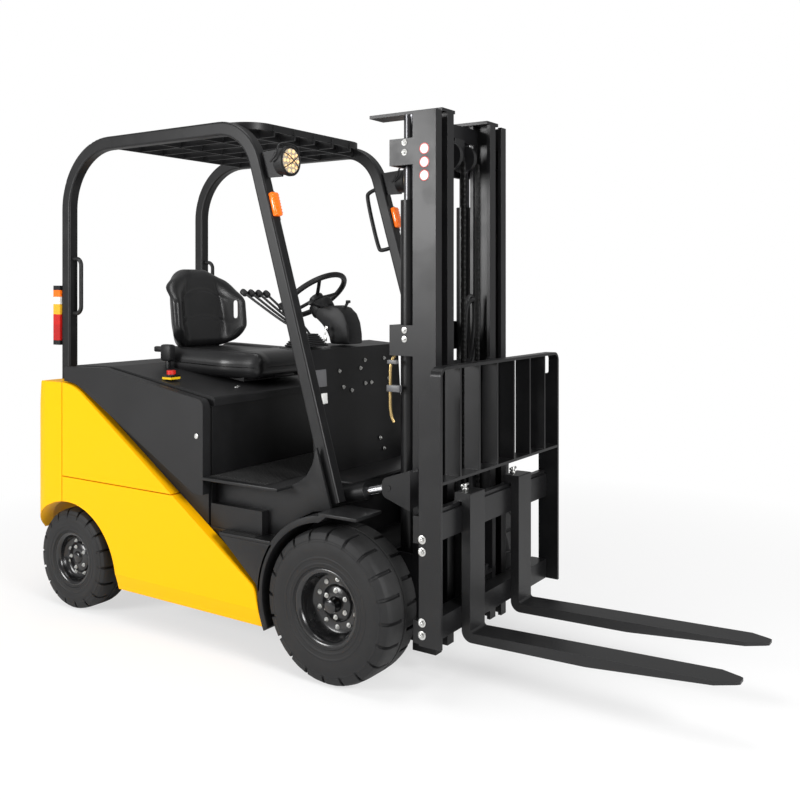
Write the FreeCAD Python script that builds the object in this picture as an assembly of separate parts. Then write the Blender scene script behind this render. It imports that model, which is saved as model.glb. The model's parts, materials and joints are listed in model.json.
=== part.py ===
import FreeCAD, Part
import math
import os
from FreeCAD import Placement, Rotation, Vector

# Electric counterbalance forklift with a two-stage mast.
# X points forward to the fork tips, Y to the left side and Z up from the ground.
# Every piece is drawn with the front axle at X = 0 and then shifted by the same placement.

doc = FreeCAD.newDocument("electric_forklift")
sheet = doc.addObject("Spreadsheet::Sheet", "sizes")

# Driving sizes in millimetres and degrees: alias, value, meaning.
DRIVING = (
    ("wheelbase", 1378, "front axle to rear axle"),
    ("rear_overhang", 322, "rear axle to the back of the counterweight"),
    ("body_half_width", 530, "middle to the body side"),
    ("front_tyre_radius", 267, "front tyre over its lugs"),
    ("front_tyre_width", 200, "front tyre section"),
    ("front_tyre_face", 536, "middle to the outer face of a front tyre"),
    ("front_rim_radius", 118, "rim barrel under the front tyre"),
    ("rear_tyre_radius", 212, "rear tyre over its lugs"),
    ("rear_tyre_width", 158, "rear tyre section"),
    ("rear_tyre_face", 515, "middle to the outer face of a rear tyre"),
    ("rear_rim_radius", 104, "rim barrel under the rear tyre"),
    ("lug_depth", 13, "depth of the tread lugs"),
    ("kingpin_inset", 320, "middle to the kingpin axis"),
    ("kingpin_radius", 16, "kingpin"),
    ("axle_radius", 30, "stub axle inside a rim"),
    ("sill_height", 142, "ground to the body sill"),
    ("deck_height", 961, "ground to the counterweight's top"),
    ("hood_rear_height", 1030, "ground to the hood at its rear"),
    ("hood_front_height", 945, "ground to the hood at its front edge"),
    ("hood_front", -590, "front edge of the hood behind the front axle"),
    ("hood_back", -1412, "rear edge of the hood"),
    ("skin", 5, "sheet metal"),
    ("seam", 4, "gap between body panels"),
    ("guard_half_width", 425, "middle to the outer face of a guard hoop"),
    ("guard_height", 2005, "ground to the top of the guard hoops"),
    ("guard_depth", 54, "hoop tube in the plane of the hoop"),
    ("guard_width", 48, "hoop tube across"),
    ("guard_back", -1560, "rear face of the rear pillars"),
    ("guard_rake", 15.9, "lean of the front pillars from upright in degrees"),
    ("guard_foot", -30, "front face of the front pillars at their foot"),
    ("guard_foot_height", 556, "height of the front pillar's foot"),
    ("mast_half_width", 264, "middle to the outer face of the outer mast"),
    ("mast_front", 281, "front face of the outer mast"),
    ("mast_depth", 96, "outer mast channel, front to back"),
    ("mast_height", 1989, "top of the outer mast"),
    ("mast_bottom", 83, "bottom of the outer mast"),
    ("channel_flange", 40, "flange of a mast channel"),
    ("channel_wall", 14, "wall of a mast channel"),
    ("inner_half_width", 181, "middle to the outer face of the inner mast"),
    ("inner_flange", 44, "flange of an inner mast channel"),
    ("mast_clearance", 6, "running clearance between the mast sections"),
    ("seat_gap", 0.3, "gap where a piece rests on or is bolted to another"),
    ("lift_stroke", 1450, "travel of each mast stage"),
    ("lift_low", 66, "travel left below the stored position, each stage"),
    ("cylinder_radius", 32, "lift cylinder barrel"),
    ("rod_radius", 20, "lift cylinder rod"),
    ("cylinder_spread", 200, "middle to a lift cylinder"),
    ("chain_spread", 52, "middle to a lift chain"),
    ("chain_wheel_radius", 52, "chain wheel"),
    ("axle_tube_radius", 48, "drive axle tube that the mast turns on"),
    ("tilt_spread", 335, "middle to a tilt cylinder"),
    ("tilt_eye_x", 150, "tilt cylinder's rod eye"),
    ("tilt_eye_z", 668, "height of the rod eye"),
    ("tilt_tail_x", -275, "tilt cylinder's tail pin"),
    ("tilt_tail_z", 556, "height of the tail pin"),
    ("tilt_barrel_radius", 34, "tilt cylinder barrel"),
    ("tilt_rod_radius", 17, "tilt cylinder rod"),
    ("rest_front", 419, "front plane of the load backrest"),
    ("rest_half_width", 459, "middle to the backrest's side"),
    ("rest_top", 1105, "top of the load backrest"),
    ("rest_rail", 732, "top of the backrest's lower rail"),
    ("rest_bottom", 189, "bottom of the backrest's side plates"),
    ("fork_face", 403, "front face of the fork shanks"),
    ("fork_length", 890, "fork blade ahead of the shank"),
    ("fork_width", 104, "fork across"),
    ("fork_thickness", 34, "fork at its heel"),
    ("fork_spread", 185, "middle to a fork's middle"),
    ("fork_top", 655, "top of a fork shank"),
    ("fork_heel", 177, "top of the blade at the heel"),
    ("fork_rise", 1.8, "upward slope of the blade in degrees"),
    ("steering_wheel_radius", 180, "steering wheel rim"),
    ("column_lean", 38, "steering axis from upright in degrees"),
    ("wheel_hub_x", -470, "steering wheel hub"),
    ("wheel_hub_z", 1330, "height of the steering wheel hub"),
    ("seat_half_width", 235, "middle to the seat's side"),
    ("cowl_front", -255, "front face of the cowl at its top"),
    ("cowl_height", 1125, "top of the cowl"),
    ("fender_height", 590, "top of the front fenders"),
    ("floor_height", 545, "top of the floor"),
    ("step_height", 470, "top of the step"),
)
for row, (alias, value, meaning) in enumerate(DRIVING, start=1):
    sheet.set("A%d" % row, meaning)
    sheet.set("B%d" % row, str(value))
    sheet.setAlias("B%d" % row, alias)
doc.recompute()


class Sizes:
    """Driving sizes read back from the sheet, by alias."""

    def __getattr__(self, alias):
        return float(sheet.get(alias))


s = Sizes()
rear_axle = -s.wheelbase
body_back = rear_axle - s.rear_overhang
fork_tip = s.fork_face + s.fork_length
front_axle_x = -(fork_tip + body_back) / 2
sub_parts = []


def add(label, shape, at=None):
    """One named sub-part: a shape drawn from the front axle, placed in the row's frame."""
    node = doc.addObject("Part::Feature", label)
    node.Label = label
    node.Shape = shape
    node.Placement = Placement(Vector(front_axle_x, 0, 0), Rotation()).multiply(shape.Placement)
    sub_parts.append(node)
    return node


def both(shape):
    """A right-hand shape and its mirror image on the left side."""
    return Part.makeCompound([shape, shape.mirror(Vector(0, 0, 0), Vector(0, 1, 0))])


def fuse(shapes):
    shapes = list(shapes)
    joined = shapes[0].multiFuse(shapes[1:]) if len(shapes) > 1 else shapes[0]
    return joined.removeSplitter()


def box(x0, x1, y0, y1, z0, z1):
    return Part.makeBox(x1 - x0, y1 - y0, z1 - z0, Vector(x0, y0, z0))


def rod(radius, start, end):
    """Round bar between two points."""
    start, end = Vector(*start), Vector(*end)
    along = end - start
    return Part.makeCylinder(radius, along.Length, start, along)


def wire_of(points):
    """Closed outline of 3-D corners (point, corner radius): straight sides joined by tangent arcs."""
    count = len(points)
    trims = []
    for i, (corner, radius) in enumerate(points):
        before = (points[i - 1][0] - corner)
        after = (points[(i + 1) % count][0] - corner)
        half_turn = before.getAngle(after) / 2
        if radius <= 0:
            trims.append((corner, corner, None))
            continue
        cut = radius / math.tan(half_turn)
        before.normalize()
        after.normalize()
        middle = before + after
        middle.normalize()
        reach = radius / math.sin(half_turn) - radius
        trims.append((corner + before * cut, corner + after * cut, corner + middle * reach))
    edges = []
    for i, (first, last, middle) in enumerate(trims):
        if middle is not None:
            edges.append(Part.Arc(first, middle, last).toShape())
        following = trims[(i + 1) % count][0]
        if last.distanceToPoint(following) > 1e-6:
            edges.append(Part.LineSegment(last, following).toShape())
    return Part.Wire(edges)


def side_plate(outline, y0, y1):
    """Outline in X and Z (x, z, corner radius) extruded across from y0 to y1."""
    corners = [(Vector(p[0], y0, p[1]), p[2] if len(p) > 2 else 0) for p in outline]
    return Part.Face(wire_of(corners)).extrude(Vector(0, y1 - y0, 0))


def flat_plate(outline, z0, z1):
    """Outline in X and Y (x, y, corner radius) extruded upwards from z0 to z1."""
    corners = [(Vector(p[0], p[1], z0), p[2] if len(p) > 2 else 0) for p in outline]
    return Part.Face(wire_of(corners)).extrude(Vector(0, 0, z1 - z0))


def cross_plate(outline, x0, x1):
    """Outline in Y and Z (y, z, corner radius) extruded forward from x0 to x1."""
    corners = [(Vector(x0, p[0], p[1]), p[2] if len(p) > 2 else 0) for p in outline]
    return Part.Face(wire_of(corners)).extrude(Vector(x1 - x0, 0, 0))


def swept_tube(path_points, profile):
    """Profile wire swept along straight runs joined by tangent arcs: points are (point, bend radius)."""
    edges = []
    previous = path_points[0][0]
    for i in range(1, len(path_points) - 1):
        corner, radius = path_points[i]
        before = path_points[i - 1][0] - corner
        after = path_points[i + 1][0] - corner
        half_turn = before.getAngle(after) / 2
        cut = radius / math.tan(half_turn)
        before.normalize()
        after.normalize()
        middle = before + after
        middle.normalize()
        first = corner + before * cut
        last = corner + after * cut
        edges.append(Part.LineSegment(previous, first).toShape())
        top = corner + middle * (radius / math.sin(half_turn) - radius)
        edges.append(Part.Arc(first, top, last).toShape())
        previous = last
    edges.append(Part.LineSegment(previous, path_points[-1][0]).toShape())
    return Part.Wire(edges).makePipeShell([profile], True, False)


def round_tube(path_points, radius):
    """Round bar or hose along a path of (point, bend radius)."""
    start = path_points[0][0]
    along = path_points[1][0] - start
    circle = Part.Circle(start, along, radius)
    return swept_tube(path_points, Part.Wire([circle.toShape()]))


def turned(profile, centre):
    """Profile of (radius, y) corners turned about the Y axis through centre (x, z)."""
    points = [Vector(centre[0] + r, y, centre[1]) for r, y in profile]
    face = Part.Face(Part.makePolygon(points + [points[0]]))
    return face.revolve(Vector(centre[0], 0, centre[1]), Vector(0, 1, 0), 360)


# Wheels

def tyre(radius, width, face, rim_radius, centre):
    """Solid tyre of the right side, with rounded shoulders."""
    inner = -face + width
    shoulder = 0.12 * width
    profile = [
        (rim_radius, -face + shoulder * 0.8),
        (rim_radius + 12, -face + shoulder * 0.3),
        (radius - 2.2 * shoulder, -face),
        (radius - 0.6 * shoulder, -face + 0.3 * shoulder),
        (radius, -face + shoulder),
        (radius, inner - shoulder),
        (radius - 0.6 * shoulder, inner - 0.3 * shoulder),
        (radius - 2.2 * shoulder, inner),
        (rim_radius + 12, inner - shoulder * 0.3),
        (rim_radius, inner - shoulder * 0.8),
    ]
    return turned(profile, centre)


def rim(width, face, rim_radius, centre, web_y, hub_radius, hub_face):
    """Pressed steel rim of the right side: barrel, flanges, dished web and hub."""
    inner = -face + width
    wall = 8
    profile = [
        (rim_radius + 10, -face + 18),
        (rim_radius, -face + 20),
        (rim_radius, inner - 20),
        (rim_radius + 10, inner - 18),
        (rim_radius + 10, inner - 12),
        (rim_radius - wall, inner - 12),
        (rim_radius - wall, web_y + wall),
        (s.axle_radius + 0.05, web_y + wall + 6),
        (s.axle_radius + 0.05, hub_face + 8),
        (0.01, hub_face + 8),
        (0.01, hub_face),
        (hub_radius, hub_face),
        (hub_radius + 6, web_y - 14),
        (hub_radius + 26, web_y - 6),
        (rim_radius - wall - 12, web_y),
        (rim_radius - wall, web_y - 12),
        (rim_radius - wall, -face + 12),
        (rim_radius + 10, -face + 12),
    ]
    profile[9] = (0, hub_face + 8)
    profile[10] = (0, hub_face)
    return turned(profile, centre)


front_centre = (0, s.front_tyre_radius)
rear_centre = (rear_axle, s.rear_tyre_radius)
front_web = -s.front_tyre_face + 70
rear_web = -s.rear_tyre_face + 45
front_tyre = tyre(s.front_tyre_radius, s.front_tyre_width, s.front_tyre_face, s.front_rim_radius,
                  front_centre)
front_rim = rim(s.front_tyre_width, s.front_tyre_face, s.front_rim_radius - 0.05, front_centre,
                front_web, 48, -s.front_tyre_face + 34)
rear_tyre = tyre(s.rear_tyre_radius, s.rear_tyre_width, s.rear_tyre_face, s.rear_rim_radius,
                 rear_centre)
rear_rim = rim(s.rear_tyre_width, s.rear_tyre_face, s.rear_rim_radius - 0.05, rear_centre,
               rear_web, 40, -s.rear_tyre_face + 8)
front_tyre = front_tyre.cut(front_rim)
rear_tyre = rear_tyre.cut(rear_rim)
for side, mirrored in (("right", False), ("left", True)):
    for label, shape in (("tyre_front", front_tyre), ("rim_front", front_rim),
                         ("tyre_rear", rear_tyre), ("rim_rear", rear_rim)):
        if mirrored:
            shape = shape.mirror(Vector(0, 0, 0), Vector(0, 1, 0))
        add("%s_%s" % (label, side), shape)

# Axles and steering knuckles
gearbox = Part.makeCylinder(105, 150, Vector(0, -75, s.front_tyre_radius), Vector(0, 1, 0))
motor = Part.makeCylinder(92, 250, Vector(-150, -90, s.front_tyre_radius + 40), Vector(0, 1, 0))
axle_tube = Part.makeCylinder(s.axle_tube_radius, 2 * (s.front_tyre_face - s.front_tyre_width - 12),
                              Vector(0, -s.front_tyre_face + s.front_tyre_width + 12,
                                     s.front_tyre_radius), Vector(0, 1, 0))
stub_half = -front_web - 10
stub = Part.makeCylinder(s.axle_radius, 2 * stub_half, Vector(0, -stub_half, s.front_tyre_radius),
                         Vector(0, 1, 0))
add("drive_axle", fuse([gearbox, motor, axle_tube, stub]))

beam_half = s.kingpin_inset - 90
rear_z = s.rear_tyre_radius
beam = box(rear_axle - 45, rear_axle + 45, -beam_half, beam_half, rear_z - 40, rear_z + 40)
ears = []
for side in (-1, 1):
    y_in = side * (beam_half - 2)
    y_out = side * (s.kingpin_inset + 22)
    y_web = side * (s.kingpin_inset - 34)
    for z0 in (rear_z - 66, rear_z + 44):
        ears.append(box(rear_axle - 24, rear_axle + 24, min(y_in, y_out), max(y_in, y_out), z0, z0 + 22))
    ears.append(box(rear_axle - 24, rear_axle + 24, min(y_in, y_web), max(y_in, y_web), rear_z - 66,
                    rear_z + 66))
    ears.append(Part.makeCylinder(s.kingpin_radius, 132,
                                  Vector(rear_axle, side * s.kingpin_inset, rear_z - 66)))
tunnel_top = rear_z + 95
trunnion = box(rear_axle - 75, rear_axle + 75, -25, 25, rear_z, tunnel_top - s.seat_gap)
add("steer_axle", fuse([beam, trunnion] + ears))

block = Part.makeCylinder(27, 86, Vector(rear_axle, -s.kingpin_inset, rear_z - 43))
stub = Part.makeCylinder(s.axle_radius, -rear_web - 8 - s.kingpin_inset,
                         Vector(rear_axle, rear_web + 8, rear_z), Vector(0, 1, 0))
bore = Part.makeCylinder(s.kingpin_radius + 0.05, 100,
                         Vector(rear_axle, -s.kingpin_inset, rear_z - 50))
knuckle = fuse([block, stub]).cut(bore)
add("knuckle_right", knuckle)
add("knuckle_left", knuckle.mirror(Vector(0, 0, 0), Vector(0, 1, 0)))

# Body: wheel wells, skirts, side panels, counterweight
well_radius = 294
well = Part.makeSphere(well_radius, Vector(rear_axle, -s.kingpin_inset, rear_z))
arch_radius = 308
arch = Part.makeCylinder(arch_radius, 400, Vector(rear_axle - 2, -700, 150), Vector(0, 1, 0))
cw_front = -1418
skin_y = -s.body_half_width
panel_in = skin_y + 45
split = 562
edge_line = [(cw_front + s.seam, s.deck_height), (-1335, 952, 220), (-326, 283, 60),
             (-293, s.sill_height)]


def panel_slab(outline, y0, y1):
    return side_plate(outline, y0, y1)


skirt_full = side_plate(edge_line + [(cw_front + s.seam, s.sill_height)], skin_y, panel_in)
skirt_full = skirt_full.cut(arch).cut(well)
lower_half = box(-2000, 0, -700, 0, 0, split)
upper_half = box(-2000, 0, -700, 0, split + s.seam, 1200)
tuck = side_plate([(-2000, 0), (0, 0), (0, 209), (-2000, 209)], skin_y - 10, skin_y + 40)
tuck_face = cross_plate([(skin_y - 1, 209), (skin_y - 1, 100), (skin_y + 26, 100)], -1300, 0)
skirt = skirt_full.common(lower_half).cut(tuck_face)
add("side_skirts", both(skirt))
add("side_panels", both(skirt_full.common(upper_half)))

# Counterweight: plan outline rounded at the rear corners, side outline with its bulge and flare
cw_side = [(cw_front, 145), (cw_front, s.deck_height), (-1568, s.deck_height, 12),
           (-1592, 862), (-1650, 800, 30), (-1650, 740, 20), (-1625, 700), (-1630, 500, 40),
           (body_back, 432, 30), (body_back, 300, 20), (-1560, 296), (-1560, 145)]
cw_profile = side_plate(cw_side, skin_y, -skin_y)
plan = [(cw_front, skin_y), (-1600, skin_y, 140), (body_back - 30, -300, 500),
        (body_back - 30, 300, 500), (-1600, -skin_y, 140), (cw_front, -skin_y)]
cw_plan = flat_plate(plan, 100, 1100)
counterweight = cw_profile.common(cw_plan)
wells = both(well.fuse(arch))
for well_side in wells.Solids:
    counterweight = counterweight.cut(well_side)
counterweight = counterweight.cut(box(rear_axle - 120, rear_axle + 400, -s.kingpin_inset - 10,
                                      s.kingpin_inset + 10, 100, tunnel_top))
tow_bore = Part.makeCylinder(16, 400, Vector(body_back + 46, 0, 200))
slot_cut = box(body_back - 50, body_back + 90, -60, 60, 372, 432)
pin_flat = box(body_back - 50, body_back + 84, -34, 34, 462, 560)
counterweight = counterweight.cut(slot_cut).cut(tow_bore).cut(pin_flat)
add("counterweight", counterweight)

# Black upper body around the battery
hinge_x = s.hood_back + 22
hinge_z = s.hood_rear_height - 34
frame_wall = 12
hood_lip = 34
cover_top = [(-1412, 1027), (-1175, 1033, 60), (s.hood_front, s.hood_front_height - 8, 30),
             (s.hood_front, split + 20), (-640, split + 20)]
cover = side_plate(cover_top + [(-1335, 962, 220), (-1412, s.deck_height + 6)], skin_y + 8,
                   panel_in)
add("battery_covers", both(cover))
case_half = -panel_in - s.seat_gap - frame_wall - s.seat_gap
sill_top = s.hood_front_height - hood_lip - s.seat_gap
wall = box(s.hood_front - 60, s.hood_front - s.seat_gap, -case_half, case_half, 240, sill_top)
tray = box(cw_front + 10, s.hood_front - 10, -case_half, case_half, 200, 240)
tray = tray.cut(box(rear_axle - 300, rear_axle + 300, -600, 600, 100, 260))
add("battery_case", fuse([wall, tray]))
add("battery", box(-1060, s.hood_front - 70, -415, 415, 240 + s.seat_gap, 850))

# Frame, floor, step and fenders
fender_back = -299.7
rail = side_plate([(-1040, 150), (-330, 150), (-330, 198), (-1040, 198)], skin_y + 50, skin_y + 130)
cross = box(-331, fender_back - s.seat_gap, -400, 400, 150, s.floor_height - 10)
floor_pan = fuse([box(s.hood_front + 1, -304, -430, 430, s.floor_height - 10, s.floor_height),
                  box(-305, -60, -290, 290, s.floor_height - 10, s.floor_height)])
side_wall = side_plate([(s.hood_front + 1, 198), (-330, 198), (-330, s.floor_height),
                        (s.hood_front + 1, s.floor_height)], skin_y + 50, skin_y + 100)
body_wall = side_plate([(-1400, 470), (-1400, 985), (-1175, 1000, 60), (s.hood_front - 6, s.hood_front_height - 40),
                        (s.hood_front - 6, 400), (-460, 220), (-1000, 220)],
                       panel_in + s.seat_gap, panel_in + s.seat_gap + frame_wall)
body_wall = body_wall.cut(arch).cut(well)
hinge = rod(8, (hinge_x, -190, hinge_z), (hinge_x, -110, hinge_z))
hinge_post = side_plate([(cw_front + 6, 900), (cw_front + 18, 900), (hinge_x + 9, hinge_z - 12),
                         (hinge_x + 9, hinge_z + 9, 8), (hinge_x - 9, hinge_z + 9, 8),
                         (hinge_x - 9, hinge_z - 20), (cw_front + 6, 940)], -156, -144)
cross_wall = box(cw_front + 6, cw_front + 18, -case_half, case_half, 500, 950)
half = fuse([rail, side_wall])
hinge_side = fuse([hinge, hinge_post])
axle_arm = box(-300, 20, -225, -170, 215, 320)
frame = fuse(both(half).Solids + [cross] + both(axle_arm).Solids)
frame = frame.cut(Part.makeCylinder(49, 2000, Vector(0, -1000, s.front_tyre_radius), Vector(0, 1, 0)))
add("chassis", frame)
floor_pan = floor_pan.cut(frame)
add("floor_plate", floor_pan)
back_wall = fuse([cross_wall] + both(hinge_side).Solids)
walls = Part.makeCompound(both(body_wall).Solids + [back_wall]).cut(frame).cut(floor_pan)
add("body_walls", walls)

arch_r = s.front_tyre_radius + 22
fender = side_plate([(-288, s.sill_height + 20), (-288, 300), (fender_back, 330), (fender_back, s.fender_height),
                     (130, s.fender_height - 12),
                     (130, s.fender_height - 24), (0, s.sill_height + 20)], skin_y + 4, -375)
fender_cut = Part.makeCylinder(arch_r, 400, Vector(0, -600, s.front_tyre_radius), Vector(0, 1, 0))
fender = fender.cut(fender_cut).cut(box(-20, 400, -600, -300, 0, s.front_tyre_radius + 200))
add("front_fenders", both(fender))

# Overhead guard: two bent hoops, roof frame and bars
hoop_y = s.guard_half_width - s.guard_width / 2
half_depth = s.guard_depth / 2
rake = math.radians(s.guard_rake)
hoop_top = s.guard_height - half_depth
foot_x = s.guard_foot - half_depth / math.cos(rake)
corner_x = foot_x - (hoop_top - s.guard_foot_height) * math.tan(rake)
hoop_path = [
    (Vector(s.guard_back + half_depth, -hoop_y, s.deck_height + s.seat_gap), 0),
    (Vector(s.guard_back + half_depth, -hoop_y, hoop_top), 272),
    (Vector(corner_x, -hoop_y, hoop_top), 200),
    (Vector(foot_x + 40 * math.sin(rake), -hoop_y, s.guard_foot_height + 42), 0),
]
start = hoop_path[0][0]
tube_profile = wire_of([
    (start + Vector(-half_depth, -s.guard_width / 2, 0), 9),
    (start + Vector(half_depth, -s.guard_width / 2, 0), 9),
    (start + Vector(half_depth, s.guard_width / 2, 0), 9),
    (start + Vector(-half_depth, s.guard_width / 2, 0), 9),
])
hoop = swept_tube(hoop_path, tube_profile)
add("guard_hoops", both(hoop))
inner_y = s.guard_half_width - s.guard_width
roof_back, roof_front = -1250, -475
bars = []
for y in (-250, -125, 0, 125, 250):
    bars.append(box(roof_back, roof_front + 4, y - 4, y + 4, s.guard_height - 48, s.guard_height - 8))
for x in (roof_back, -1000, -750, -560):
    bars.append(box(x, x + 8, -inner_y - 0.0, inner_y, s.guard_height - 50, s.guard_height - 10))
visor_z = s.guard_height - 27
outer = [(-600, -inner_y - 10, 0), (roof_front, -inner_y + 20, 110), (roof_front, inner_y - 20, 110),
         (-600, inner_y + 10, 0)]
inner = [(-600, -inner_y - 2, 0), (roof_front - 8, -inner_y + 28, 102),
         (roof_front - 8, inner_y - 28, 102), (-600, inner_y + 2, 0)]
visor = flat_plate(outer, visor_z, s.guard_height).cut(flat_plate(inner, visor_z - 5, s.guard_height + 5))
roof = fuse(bars + [visor])
for solid in both(hoop).Solids:
    roof = roof.cut(solid)
add("guard_roof", roof)

# Cowl, steering column and controls
cowl_side = [(s.cowl_front, s.cowl_height), (s.cowl_front + 40, s.floor_height + s.seat_gap),
             (s.cowl_front + 34, s.floor_height + s.seat_gap), (s.cowl_front - 6, s.cowl_height - 6),
             (s.cowl_front - 150, s.cowl_height + 4), (s.cowl_front - 150, s.cowl_height + 10)]
cowl = side_plate(cowl_side, -298, 298)
add("front_cowl", cowl)
lean = math.radians(s.column_lean)
axis_up = Vector(-math.sin(lean), 0, math.cos(lean))
hub = Vector(s.wheel_hub_x, 0, s.wheel_hub_z)
column_foot = hub - axis_up * 260
column_shape = side_plate([(s.cowl_front - 10, s.cowl_height - 30), (s.cowl_front - 12, s.cowl_height + 60, 30),
                           (-330, 1275, 40), (-400, 1270, 20), (-440, 1215, 20),
                           (-400, 1080, 40)], -75, 75)
shaft = rod(19, tuple(hub - axis_up * 160), tuple(hub - axis_up * (30 + s.seat_gap)))
add("steering_column", fuse([column_shape.cut(cowl), shaft]))
ring = Part.makeTorus(s.steering_wheel_radius - 13, 13, hub, axis_up)
hub_disc = Part.makeCylinder(42, 34, hub - axis_up * 30, axis_up)
spokes = []
for turn in (90, 210, 330):
    angle = math.radians(turn)
    forward = Vector(math.cos(lean), 0, math.sin(lean))
    out = forward * math.cos(angle) + Vector(0, 1, 0) * math.sin(angle)
    spokes.append(rod(9, tuple(hub - axis_up * 12), tuple(hub + out * (s.steering_wheel_radius - 14))))
knob_out = forward * math.cos(math.radians(-30)) + Vector(0, 1, 0) * math.sin(math.radians(-30))
knob_base = hub + knob_out * (s.steering_wheel_radius - 14)
knob = rod(16, tuple(knob_base), tuple(knob_base + axis_up * 48))
add("steering_wheel", fuse([ring, hub_disc, knob] + spokes))

levers = []
for i, y in enumerate((-222, -250, -278, -306)):
    grip = Vector(-600 + 8 * i, y - 20, 1335)
    foot = Vector(-340, y, 1133)
    levers.append(rod(6, tuple(foot), tuple(grip)))
    levers.append(Part.makeSphere(18, grip))
boot = box(-400, -290, -330, -200, s.cowl_height - 2, s.cowl_height + 30)
add("control_levers", fuse([boot] + levers).cut(cowl))
pedals = fuse([box(-330, -262, -150, -90, 650, 662), box(-300, -255, -125, -115, 600, 655),
               rod(8, (-262, -120, 655), (-222, -120, 640)),
               box(-330, -262, 0, 60, 650, 662), rod(8, (-270, 30, 655), (-222, 30, 640))])
add("pedals", pedals.cut(cowl))

# Seat and hood
hood_slope = [(s.hood_back + 6, s.hood_rear_height - 20), (s.hood_back + 6, s.hood_rear_height),
              (-1175, s.hood_rear_height + 5, 60), (s.hood_front + 4, s.hood_front_height, 12),
              (s.hood_front + 4, s.hood_front_height - 34), (s.hood_front - 20, s.hood_front_height - 34),
              (-1175, s.hood_rear_height - 20, 60)]
hood = side_plate(hood_slope, skin_y + 66, -skin_y - 66)
ear = rod(15, (hinge_x, -186, hinge_z), (hinge_x, -158, hinge_z))
ear = fuse([ear, box(hinge_x - 8, hinge_x + 30, -186, -158, hinge_z, s.hood_rear_height - 10)])
hood = fuse([hood] + both(ear).Solids).cut(rod(8.05, (hinge_x, -300, hinge_z), (hinge_x, 300, hinge_z)))
add("hood", hood)
seat_base = side_plate([(-1150, 1031), (-700, 975), (-700, 1020), (-1150, 1040)], -180, 180)
add("seat_base", seat_base.cut(hood))
cushion = side_plate([(-1150, 1042), (-690, 1022), (-640, 1040, 20), (-625, 1085, 20), (-680, 1110, 30),
                      (-1150, 1120, 20)], -s.seat_half_width, s.seat_half_width)
add("seat_cushion", cushion)
back = side_plate([(-1060, 1125), (-1160, 1440, 30), (-1230, 1450, 30), (-1240, 1100, 40), (-1160, 1044),
                   (-1155, 1125)], -s.seat_half_width, s.seat_half_width)
back = back.cut(cushion)
add("seat_back", back)

# Lamps and handles
lamp_x, lamp_z = -262, 1830
lamp_y = -s.guard_half_width + 30
lamp = fuse([rod(50, (lamp_x - 45, -398, lamp_z), (lamp_x, -398, lamp_z)),
             rod(56, (lamp_x - 12, -398, lamp_z), (lamp_x, -398, lamp_z)),
             side_plate([(-440, 1870), (lamp_x - 40, 1880), (lamp_x - 40, 1775), (-400, 1775)], -402, -394)])
lamp = lamp.cut(hoop)
add("headlamps", both(lamp))
turn = side_plate([(-320, 1740), (-296, 1740), (-268, 1636), (-292, 1636)], -424, -384)
turn = fuse([turn, side_plate([(-390, 1710), (-310, 1710), (-300, 1668), (-380, 1668)], -408, -396)])
turn = turn.cut(hoop)
add("turn_lamps", both(turn))
rear_lamp = box(s.guard_back - 46, s.guard_back - 0.3, -s.guard_half_width - 8, -s.guard_half_width + 44, 1110, 1372)
add("rear_lamps", both(rear_lamp))
handle_x = s.guard_back + s.guard_depth
near_handle = round_tube([(Vector(handle_x, -hoop_y, 1490), 0), (Vector(handle_x + 50, -hoop_y, 1490), 30),
                          (Vector(handle_x + 50, -hoop_y, 1250), 30), (Vector(handle_x, -hoop_y, 1250), 0)], 9)
add("grab_handles", both(near_handle))
add("emergency_stop", fuse([box(-900, -850, -440, -390, 995, 1012), rod(18, (-875, -415, 1010), (-875, -415, 1030))]))

# Outer mast
def channel(half_width, flange, front, back, z0, z1, wall_size, opens):
    """Right-hand mast channel with its web outside and flanges inward."""
    web = box(back, front, -half_width, -half_width + wall_size, z0, z1)
    front_flange = box(front - wall_size, front, -half_width, -half_width + flange, z0, z1)
    back_flange = box(back, back + wall_size, -half_width, -half_width + flange, z0, z1)
    return fuse([web, front_flange, back_flange])


mast_back = s.mast_front - s.mast_depth
outer_right = channel(s.mast_half_width, s.channel_flange, s.mast_front, mast_back, s.mast_bottom,
                      s.mast_height, s.channel_wall, 1)
outer_pair = both(outer_right).Solids
crosses = []
tie_front = mast_back - 55 - s.cylinder_radius - s.seat_gap
for z0, z1 in ((340, 420), (1120, 1230), (1800, 1895)):
    crosses.append(box(tie_front - 12, tie_front, -s.mast_half_width, s.mast_half_width, z0, z1))
    for side in (-1, 1):
        y0 = side * (s.mast_half_width - 12)
        y1 = side * s.mast_half_width
        crosses.append(box(tie_front - 12, mast_back + 1, min(y0, y1), max(y0, y1), z0, z1))
axle_z = s.front_tyre_radius
bearing = s.axle_tube_radius + 24
bracket = side_plate([(-bearing, axle_z - bearing, bearing - 1), (60, axle_z - bearing), (mast_back + 2, 120),
                      (mast_back + 2, 420), (60, axle_z + bearing), (-bearing, axle_z + bearing, bearing - 1)],
                     -s.mast_half_width, -s.mast_half_width + 26)
bracket = bracket.cut(Part.makeCylinder(s.axle_tube_radius + 0.05, 100, Vector(0, -300, axle_z),
                                        Vector(0, 1, 0)))
eye = side_plate([(s.tilt_eye_x - 26, s.tilt_eye_z - 30, 24), (s.mast_front - 40, s.tilt_eye_z - 70),
                  (s.mast_front - 40, s.tilt_eye_z + 70), (s.tilt_eye_x - 26, s.tilt_eye_z + 30, 24)],
                 -s.tilt_spread - 32, -s.tilt_spread - 18)
eye_in = eye.copy()
eye_in.translate(Vector(0, 50, 0))
eye_web = box(s.mast_front - 60, s.mast_front - 40, -s.tilt_spread - 32, -s.mast_half_width + 2,
              s.tilt_eye_z - 60, s.tilt_eye_z + 60)
eye_pin = rod(11, (s.tilt_eye_x, -s.tilt_spread - 34, s.tilt_eye_z), (s.tilt_eye_x, -s.tilt_spread + 34, s.tilt_eye_z))
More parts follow.
